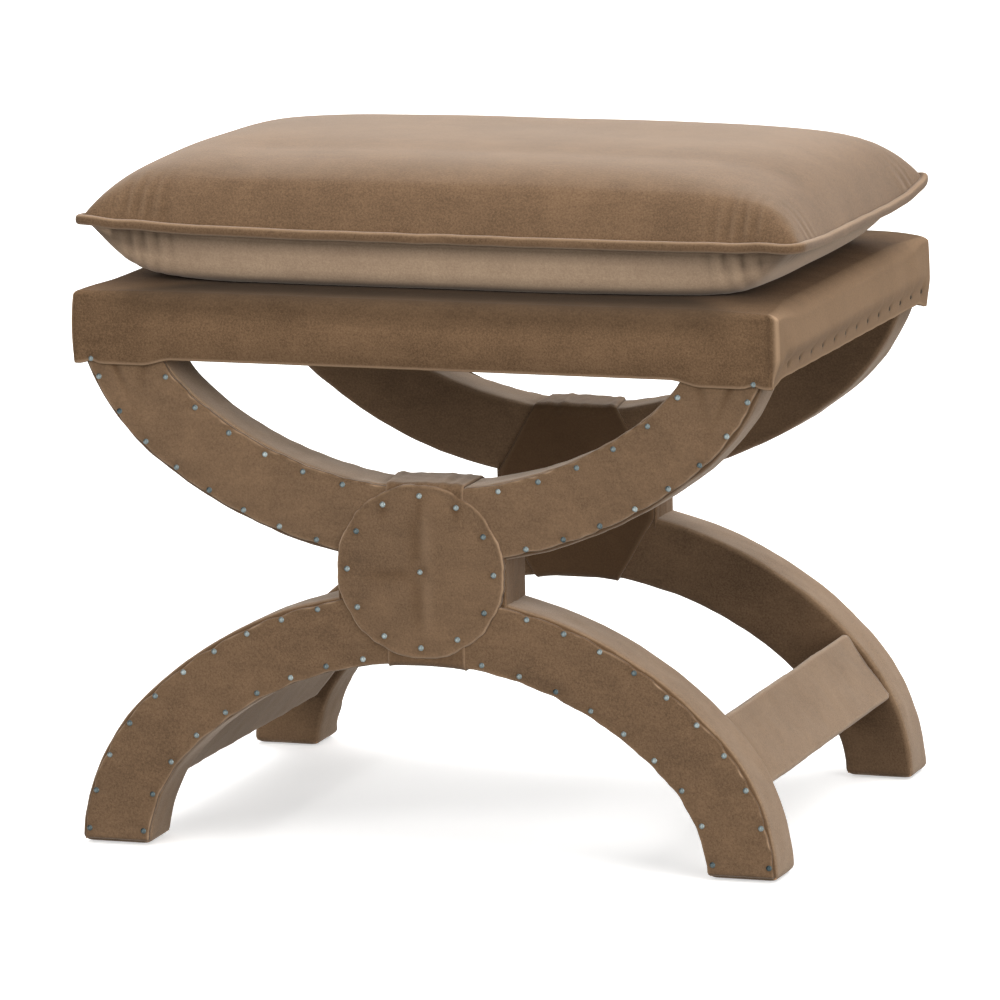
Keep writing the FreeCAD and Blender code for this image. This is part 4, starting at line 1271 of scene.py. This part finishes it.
    def dust_sheet(self) -> bpy.types.Object:
        """The dust cloth: a grid cut to a cross between the arms, sagging a little in the middle.

        Returns:
            The piece.
        """
        low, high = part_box("dust_cover")
        x = np.linspace(low.x, high.x, 61) / MM
        y = np.linspace(low.y, high.y, 49) / MM
        grid_x, grid_y = np.meshgrid(x, y, indexing="ij")
        sag = (1.0 - (grid_x / x[-1]) ** 2) * (1.0 - (grid_y / y[-1]) ** 2)
        wave = 0.25 * Ripple(401, 70.0).at(stacked(grid_x, grid_y, 0.0))
        points = stacked(grid_x, grid_y, low.z / MM + 0.3 - 2.6 * sag + wave)
        cells = quads(np.arange(grid_x.size).reshape(grid_x.shape))
        middle_x = np.abs((grid_x[:-1, :-1] + grid_x[1:, 1:]) / 2)
        middle_y = np.abs((grid_y[:-1, :-1] + grid_y[1:, 1:]) / 2)
        kept = cells[(middle_x < self.arm_across) | (middle_y < self.arm_back)]
        used, renumbered = np.unique(kept, return_inverse=True)
        faces = renumbered.reshape(-1, 4).tolist()
        mesh = filled_mesh("dust_sheet", points.reshape(-1, 3)[used], faces, {})
        piece = make_piece("dust_sheet", mesh, self.cloth, "base", ["dust_cover"])
        thick = piece.modifiers.new("thickness", "SOLIDIFY")
        thick.thickness = 0.8 * MM
        thick.offset = 0.0
        return piece

    def build(self) -> None:
        """Makes the cover, the foam pad and the dust cloth."""
        mesh = make_mesh("seat_velvet", [self.cover()])
        make_piece("seat_velvet", mesh, self.velvet, "base", ["seat_cover"])
        self.pad()
        self.dust_sheet()


# Cushion


BLOWING = {
    "quality": 6,
    "mass": 0.3,
    "tension_stiffness": 18.0,
    "compression_stiffness": 18.0,
    "shear_stiffness": 8.0,
    "bending_stiffness": 8.0,
    "use_pressure": True,
    "uniform_pressure_force": 4.0,
    "vertex_group_mass": "seam",
}
BLOWING_STEPS = 20


@dataclass
class Cushion:
    """The loose knife-edge cushion: one blown-up cover and the welt round its seam."""

    velvet: bpy.types.Material
    underside: bpy.types.Material
    half_width: float = 315.5
    half_depth: float = 199.0
    bow_side: float = 3.0
    bow_front: float = 9.0
    tip: float = 2.0
    seam_up: float = 518.5
    ear_lift: float = 8.5
    ear_twist: float = 4.6
    crown: float = 63.6
    lean: float = 0.8
    belly: float = 46.2
    rest: float = 473.3
    cap: float = 1.5
    rise_length: float = 11.44
    rise_bend: float = 1.166
    rise_corner: float = 1.18
    fall_length: float = 9.0
    fall_bend: float = 1.8
    fall_corner: float = 1.6
    front_knee: float = 14.0
    front_bend: float = 0.6
    gather_pitch: float = 14.0
    welt_high: float = 4.3
    welt_deep: float = 3.7

    def outline(self, across: Array, back: Array) -> tuple[Array, Array, Array]:
        """Where a square's point lies on the seam's plane: its sides are drawn in between the corners.

        Each side is moved in by its bow times one less the square of the place along it, the corners
        are blunted by a high power of the place, and the seam rises to the lift there.

        Args:
            across, back: Places on the square, -1 to 1.

        Returns:
            X, Y and the seam's height.
        """
        blunt = self.tip * np.abs(across * back) ** 26
        x = across * (self.half_width - self.bow_side * (1.0 - back**2) - blunt)
        y = back * (self.half_depth - self.bow_front * (1.0 - across**2) - blunt)
        lift = self.ear_lift + self.ear_twist * np.clip(across, 0.0, 1.0) * back
        return x, y, self.seam_up + lift * (across * back) ** 4

    def blank(self) -> tuple[Array, Array]:
        """Top and bottom before blowing up: the crown or belly times how far the cloth has risen.

        The gap from a side is half its length times one less the square of the place, so that it has
        no sharp crest in the middle. Along the front, a gap past the knee only grows with a power of
        itself, which makes a longer slope there. The gaps from the two sides join as an inverse power
        mean, so that the corners round off as they rise, and the rise is 1 - e^(-gap^bend).

        Returns:
            Grids of points for the top and the bottom, which share their outer edge.
        """
        steps = [np.linspace(-1.0, 1.0, count) for count in (125, 83)]
        closer_at_seam = [step + 0.3 * np.sin(np.pi * step) / np.pi for step in steps]
        across, back = np.meshgrid(*closer_at_seam, indexing="ij")
        x, y, seam = self.outline(across, back)
        gap_x = np.maximum(0.5 * self.half_width * (1.0 - across**2), 1e-3)
        gap_y = np.maximum(0.5 * self.half_depth * (1.0 - back**2), 1e-3)
        slow_x = 1.785 + 0.13 * across
        slow_y = 1.185 - 0.185 * back
        near = gap_y / slow_y
        long_slope = np.minimum(near, self.front_knee * (near / self.front_knee) ** self.front_bend)
        front = eased(-back, 0.0, 0.5) * eased(across, -0.9, -0.55)
        near = near + (long_slope - near) * front
        gap = self.met(gap_x / slow_x, near, self.rise_corner)
        rise = self.risen(gap, self.rise_length, self.rise_bend)
        top = seam + (self.crown + self.lean * across) * rise
        gap = self.met(gap_x / (3.0 + 0.5 * across), gap_y, self.fall_corner)
        fall = self.risen(gap, self.fall_length, self.fall_bend)
        low = seam - (self.belly + 1.0) * fall
        low = np.maximum(low, self.rest + seat_rise(x, y))
        return stacked(x, y, top), stacked(x, y, low)

    @staticmethod
    def risen(gap: Array, length: float, bend: float) -> Array:
        """How far the cloth has risen at a gap: 1 - e^(-(gap / length)^bend), made 1 in the middle.

        Args:
            gap: Distance from the seam.
            length: Distance over which most of the rise is made.
            bend: How sharply it levels out.

        Returns:
            Heights from nearly 0 to 1.
        """
        rise = 1.0 - np.exp(-((gap / length) ** bend))
        return rise / rise.max()

    @staticmethod
    def met(first: Array, second: Array, power: float) -> Array:
        """Two gaps as one: the sum of their inverse powers, to one over minus the power."""
        return (first**-power + second**-power) ** (-1.0 / power)

    @staticmethod
    def faces(rows: int, columns: int) -> tuple[Array, Array, Array]:
        """Quads of the closed cover: the top's grid, then the bottom's with the top's edge points.

        Args:
            rows, columns: Size of each grid.

        Returns:
            The quads, the number in the mesh of each bottom grid point, and which are on the seam.
        """
        top = np.arange(rows * columns).reshape(rows, columns)
        edge = np.ones((rows, columns), bool)
        edge[1:-1, 1:-1] = False
        low = np.where(edge, top, 0)
        low[~edge] = rows * columns + np.arange((~edge).sum())
        above, below = (quads(grid).reshape(-1, 4) for grid in (top, low))
        return np.concatenate([above, below[:, ::-1]]), low, edge

    def blown(self, points: Array, faces: Array, pinned: Array) -> Array:
        """Blows up a closed cover with cloth under pressure, with its seam held.

        Args:
            points: Rows of x, y, z in millimetres.
            faces: Quads.
            pinned: Numbers of the points on the seam.

        Returns:
            How far each point moves, no further than the cap.
        """
        mesh = filled_mesh("blank", points, faces.tolist(), {})
        blank = bpy.data.objects.new("blank", mesh)
        scene = bpy.context.scene
        scene.collection.objects.link(blank)
        held = blank.vertex_groups.new(name="seam")
        held.add(pinned.tolist(), 1.0, "REPLACE")
        cloth = blank.modifiers.new("blow", "CLOTH").settings
        for key, value in BLOWING.items():
            setattr(cloth, key, value)
        cloth.effector_weights.gravity = 0.0
        for step in range(1, BLOWING_STEPS + 1):
            scene.frame_set(step)
        shaped = blank.evaluated_get(bpy.context.evaluated_depsgraph_get())
        moved = np.empty(len(points) * 3, np.float32)
        shaped.data.vertices.foreach_get("co", moved)
        scene.frame_set(1)
        bpy.data.objects.remove(blank)
        bpy.data.meshes.remove(mesh)
        shift = moved.reshape(-1, 3).astype(float) / MM - points
        length = np.linalg.norm(shift, axis=1, keepdims=True)
        return shift * np.minimum(1.0, self.cap / np.maximum(length, 1e-6))

    @staticmethod
    def evened(grid: Array) -> Array:
        """A grid of moves with its buckles taken out: a bell-weighted mean of each point's neighbours.

        Args:
            grid: Rows and columns of moves, held still at the edge.

        Returns:
            The smoother moves.
        """
        kernel = np.hanning(19)[1:-1]
        kernel = kernel / kernel.sum()
        for axis in (0, 1):
            grid = np.apply_along_axis(np.convolve, axis, grid, kernel, "same")
        return grid

    def gathers(self, grid: Array, above: bool) -> tuple[Array, Array]:
        """Folds drawn to the seam near the corners: short waves that die away from seam and corner.

        Args:
            grid: The top's or bottom's points.
            above: Whether it is the top.

        Returns:
            How far each point moves out, and how far it is a raised fold.
        """
        x, y = grid[..., 0], grid[..., 1]
        gap_x = np.clip(self.half_width - self.bow_side * 0.5 - np.abs(x), 0.0, None)
        gap_y = np.clip(self.half_depth - self.bow_front * 0.5 - np.abs(y), 0.0, None)
        place = stacked(x, y, 0.0)
        chance = Ripple(505 if above else 506, 70.0).at(place)
        beat_x, beat_y = (
            np.sin(2.0 * np.pi * (gap + 6.0 * chance) / self.gather_pitch) for gap in (gap_x, gap_y)
        )
        reach = 17.0 if above else 20.0
        near_x = eased(gap_x, 22.0, 44.0) * (1.0 - eased(gap_x, 50.0, 100.0))
        near_y = eased(gap_y, 18.0, 36.0) * (1.0 - eased(gap_y, 40.0, 80.0))
        along_x = beat_x * np.exp(-gap_y / reach) * near_x
        along_y = 0.7 * beat_y * np.exp(-2.0 * gap_x / reach) * near_y
        fold = (along_x + along_y) * eased(np.minimum(gap_x, gap_y), 0.0, 4.0)
        slow = Ripple(507, 120.0).at(place)
        return (1.7 if above else 2.0) * fold + 0.5 * slow, fold

    def cover(self) -> None:
        """Makes the blown-up cover: top and bottom in one closed mesh, each in its own velvet."""
        top, low = self.blank()
        rows, columns = top.shape[:2]
        count = rows * columns
        faces, number, edge = self.faces(rows, columns)
        points = np.concatenate([top.reshape(-1, 3), low[~edge]])
        shift = self.blown(points, faces, number[edge])
        shift_top = self.evened(shift[:count].reshape(rows, columns, 3))
        shift_low = self.evened(shift[number])
        points = points + np.concatenate([shift_top.reshape(-1, 3), shift_low[~edge]])
        points[number[edge]] = top[edge]
        grid_top = points[:count].reshape(rows, columns, 3)
        grid_low = points[number]
        ridge = np.zeros(len(points))
        for grid, above in ((grid_low, False), (grid_top, True)):
            out = np.cross(np.gradient(grid, axis=0), np.gradient(grid, axis=1))
            out /= np.maximum(np.linalg.norm(out, axis=-1, keepdims=True), 1e-9)
            out = out if above else -out
            move, raised = self.gathers(grid, above)
            made = grid + out * (move * ~edge)[..., None]
            if above:
                points[:count] = np.where(edge[..., None], grid, made).reshape(-1, 3)
                ridge[:count] = raised.ravel()
            else:
                points[number[~edge]] = made[~edge]
                ridge[number[~edge]] = raised[~edge]
        floor = self.rest + seat_rise(points[:, 0], points[:, 1])
        points[count:, 2] = np.maximum(points[:, 2], floor)[count:]
        # Painted shade on the underside just below the welt, where its shadow falls, and where the
        # cushion rests on the seat; painted shade in the gathers' troughs and painted highlight on
        # their crests.
        drop = self.seam_up - points[:, 2]
        painted_shade = np.where(drop > 0.0, 0.75 * (1.0 - eased(drop, 8.0, 24.0)), 0.0)
        painted_shade = painted_shade + 1.1 * (1.0 - eased(points[:, 2] - floor, 0.0, 9.0))
        painted_shade[:count] = 0.0
        painted_shade = painted_shade + 0.45 * np.clip(-ridge, 0.0, 1.0)
        ridge = 0.25 * np.clip(ridge, 0.0, 1.0)
        marks = {"ridge": ridge, "painted_shade": painted_shade}
        mesh = filled_mesh("cushion_cover", points, faces.tolist(), marks)
        piece = make_piece(
            "cushion_cover", mesh, self.velvet, "cushion",
            ["cushion_top_cover", "cushion_bottom_cover", "cushion_filling"],
        )
        mesh.materials.append(self.underside)
        below = np.arange(len(faces)) >= len(faces) // 2
        mesh.polygons.foreach_set("material_index", below.astype(np.int32))
        smooth = piece.modifiers.new("smooth", "SUBSURF")
        smooth.levels = 1
        smooth.render_levels = 1

    def welt(self) -> None:
        """Makes the welt: a flattened oval carried round the seam, loose and wavy near the corners."""
        run = np.linspace(-1.0, 1.0, 260)[:-1]
        one = np.ones_like(run)
        across = np.concatenate([run, one, -run, -one])
        back = np.concatenate([-one, run, one, -run])
        line = stacked(*self.outline(across, back))
        kernel = np.hanning(11)
        kernel = kernel / kernel.sum()
        wide = np.concatenate([line[-5:], line, line[:5]])
        line = stacked(*(np.convolve(part, kernel, "valid") for part in wide.T))
        ahead = np.roll(line, -1, axis=0) - np.roll(line, 1, axis=0)
        ahead /= np.linalg.norm(ahead, axis=1, keepdims=True)
        out = np.cross(ahead, np.array([0.0, 0.0, 1.0]))
        out /= np.linalg.norm(out, axis=1, keepdims=True)
        high = np.cross(out, ahead)
        corner = np.abs(across * back) ** 6
        wobble = Ripple(601, 34.0).at(line) * (0.25 + 0.8 * corner)
        turn = np.linspace(0.0, 2.0 * np.pi, 25)[:-1]
        oval_out = np.sign(np.cos(turn)) * np.abs(np.cos(turn)) ** 0.75 * self.welt_deep
        oval_up = np.sign(np.sin(turn)) * np.abs(np.sin(turn)) ** 0.75 * self.welt_high
        points = (
            line[:, None]
            + out[:, None] * (oval_out[:, None] + 1.0)
            + high[:, None] * (oval_up[:, None] + wobble[:, None, None])
        )
        # Painted highlight along the upper and lower edges of the outer side; painted shade on the side
        # against the cushion.
        ridge = np.where(np.sin(turn) > 0.0, 0.55, 0.9) * bell(np.abs(np.sin(turn)) - 0.8, 0.25)
        ridge = ridge * (np.cos(turn) > -0.2)
        painted_shade = np.where(np.cos(turn) < -0.25, 0.8, 0.0)
        mesh = make_mesh("cushion_piping", [Skin(points, ridge, painted_shade, loop=True)])
        make_piece("cushion_piping", mesh, self.velvet, "cushion", ["cushion_welt"])

    def build(self) -> None:
        """Makes the cover and the welt."""
        self.cover()
        self.welt()


# Carried-over solids


@dataclass
class Solids:
    """Solids of the frame that stay as they are and only get a finish."""

    def dress(self) -> None:
        """Gives each shown solid its finish by what it is made of."""
        nail = Steel("nail_steel", (0.26, 0.30, 0.30), (0.035, 0.052, 0.058), 0.5).material()
        tack = Steel("tack_steel", (0.075, 0.055, 0.038), (0.022, 0.016, 0.011), 0.6).material()
        screw = Steel("screw_steel", (0.60, 0.58, 0.54), (0.30, 0.29, 0.27), 0.38).material()
        wood = Timber("hardwood", (0.50, 0.30, 0.15), (0.30, 0.16, 0.07), (0.12, 1.0, 1.0)).material()
        ply = Timber("plywood", (0.62, 0.43, 0.24), (0.42, 0.26, 0.12), (0.15, 1.0, 1.0)).material()
        black = (0.010, 0.009, 0.008), (0.022, 0.020, 0.018)
        plastic = Plain("glide_plastic", *black, 0.8, 0.45).material()
        wooden = ("dowels", "rail", "blocks", "block", "arc", "stretcher")
        kinds = {"nails": nail, "tacks": tack, "screws": screw, "glides": plastic}
        kinds |= dict.fromkeys(wooden, wood) | dict.fromkeys(("board", "deck"), ply)
        for name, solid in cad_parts.items():
            word = name.split("_")[-1]
            if solid.hide_render or word not in kinds:
                continue
            solid.data.materials.clear()
            solid.data.materials.append(kinds[word])
            log.info("%s: %s", name, kinds[word].name)


# Studio


@dataclass(frozen=True)
class Lamp:
    """A wide soft light: the way to it, its width as an angle in degrees, and its strength."""

    name: str
    toward: tuple[float, float, float]
    spread: float
    strength: float


LAMPS = (
    Lamp("overhead", (0.25, 0.15, 1.0), 80.0, 2.8),
    Lamp("front", (-0.25, -1.0, 0.4), 50.0, 2.05),
    Lamp("right", (1.0, -0.4, 0.2), 40.0, 1.9),
    Lamp("back", (-0.4, 1.0, 1.0), 60.0, 1.2),
)


@dataclass
class Studio:
    """The floor, the lights and the photograph's camera."""

    azimuth: float = 0.31695584
    elevation: float = 0.17112760
    roll: float = -0.01078314
    distance: float = 6.5
    focal: float = 7574.33
    image: float = 1000.0
    sensor: float = 36.0
    target: tuple[float, float, float] = (-0.009554, 0.0, 0.266846)
    light: Colour = (1.0, 0.985, 0.965)
    sky: float = 0.15
    floor_edge: float = 30.0

    def camera(self) -> None:
        """Sets the camera on its axes: right, up and back, turned by the roll."""
        cos_up, sin_up = math.cos(self.elevation), math.sin(self.elevation)
        back = Vector((math.sin(self.azimuth) * cos_up, -math.cos(self.azimuth) * cos_up, sin_up))
        right = Vector((math.cos(self.azimuth), math.sin(self.azimuth), 0.0))
        up = back.cross(right)
        level = math.cos(self.roll) * right + math.sin(self.roll) * up
        plumb = math.cos(self.roll) * up - math.sin(self.roll) * right
        lens = bpy.data.cameras.new("camera")
        lens.sensor_width = self.sensor
        lens.lens = self.focal * self.sensor / self.image
        lens.clip_end = 50.0
        camera = bpy.data.objects.new("camera", lens)
        spot = Vector(self.target) + back * self.distance
        axes = Matrix((level, plumb, back)).transposed().to_4x4()
        camera.matrix_world = Matrix.Translation(spot) @ axes
        bpy.context.scene.collection.objects.link(camera)
        bpy.context.scene.camera = camera

    def hang(self, lamp: Lamp) -> None:
        """Puts up a lamp far away, so that it is the same over the whole floor.

        Args:
            lamp: The lamp.
        """
        light = bpy.data.lights.new(lamp.name, "SUN")
        light.angle = math.radians(lamp.spread)
        light.energy = lamp.strength
        light.color = self.light
        placed = bpy.data.objects.new(lamp.name, light)
        placed.matrix_world = (-Vector(lamp.toward)).to_track_quat("-Z", "Y").to_matrix().to_4x4()
        bpy.context.scene.collection.objects.link(placed)

    def floor(self) -> None:
        """A wide pale floor, which throws no light back up."""
        mesh = bpy.data.meshes.new("floor")
        edge = self.floor_edge
        corners = [(-edge, -edge, 0.0), (edge, -edge, 0.0), (edge, edge, 0.0), (-edge, edge, 0.0)]
        mesh.from_pydata(corners, [], [(0, 1, 2, 3)])
        floor = bpy.data.objects.new("floor", mesh)
        floor.visible_diffuse = False
        bpy.context.scene.collection.objects.link(floor)
        bench = Bench("pale_floor")
        place = bench.place()
        cloud = bench.noise(place, 700.0)
        colour = bench.mix(cloud, (0.90, 0.90, 0.90), (0.93, 0.93, 0.93))
        glow = {"Emission Color": (1.0, 1.0, 1.0, 1.0), "Emission Strength": 0.5}
        mesh.materials.append(bench.finish({"Base Color": colour, "Roughness": 0.9, **glow}))

    def build(self) -> None:
        """Makes floor, lights, surroundings and camera."""
        self.floor()
        for lamp in LAMPS:
            self.hang(lamp)
        world = bpy.data.worlds.new("studio")
        world.use_nodes = True
        sky = world.node_tree.nodes["Background"]
        sky.inputs["Color"].default_value = (1.0, 1.0, 1.0, 1.0)
        sky.inputs["Strength"].default_value = self.sky
        bpy.context.scene.world = world
        bpy.context.scene.view_settings.view_transform = "Standard"
        self.camera()


def main() -> None:
    """Builds the ottoman's pieces in order, then the studio."""
    logging.basicConfig(level=logging.INFO, format="%(name)s: %(message)s")
    velvet = Velvet("velvet", *TAUPE).material()
    below = Velvet(
        "velvet_brushed",
        (0.40, 0.28, 0.19),
        (0.56, 0.41, 0.28),
        highlight_colour=(0.60, 0.46, 0.33),
        fold=PAINTED_SHADOW,
        nap=(1.0, 1.0, 0.12),
    ).material()
    # The seat's velvet: little sheen, and near-black painted shade.
    boxed = Velvet("velvet_boxed", *TAUPE, fold=PAINTED_SHADOW, sheen=0.03).material()
    # A lit copy of the velvet, paler and with more sheen: painted light for the sleeves' edge faces and
    # the stretchers.
    lit_velvet = Velvet("velvet_paler", (0.150, 0.094, 0.054), (0.290, 0.188, 0.112), sheen=0.5).material()
    dust = Plain("dust_cloth", (0.006, 0.006, 0.006), (0.016, 0.016, 0.016), 0.9, 0.9).material()
    for side in Side:
        CrossFrame(side, velvet, lit_velvet).build()
    Stretchers(lit_velvet).build()
    foam = Plain("foam", (0.70, 0.64, 0.44), (0.82, 0.77, 0.60), 1.5, 0.9).material()
    Seat(boxed, dust, foam).build()
    Cushion(velvet, below).build()
    Solids().dress()
    Studio().build()


if __name__ == "__main__":
    main()
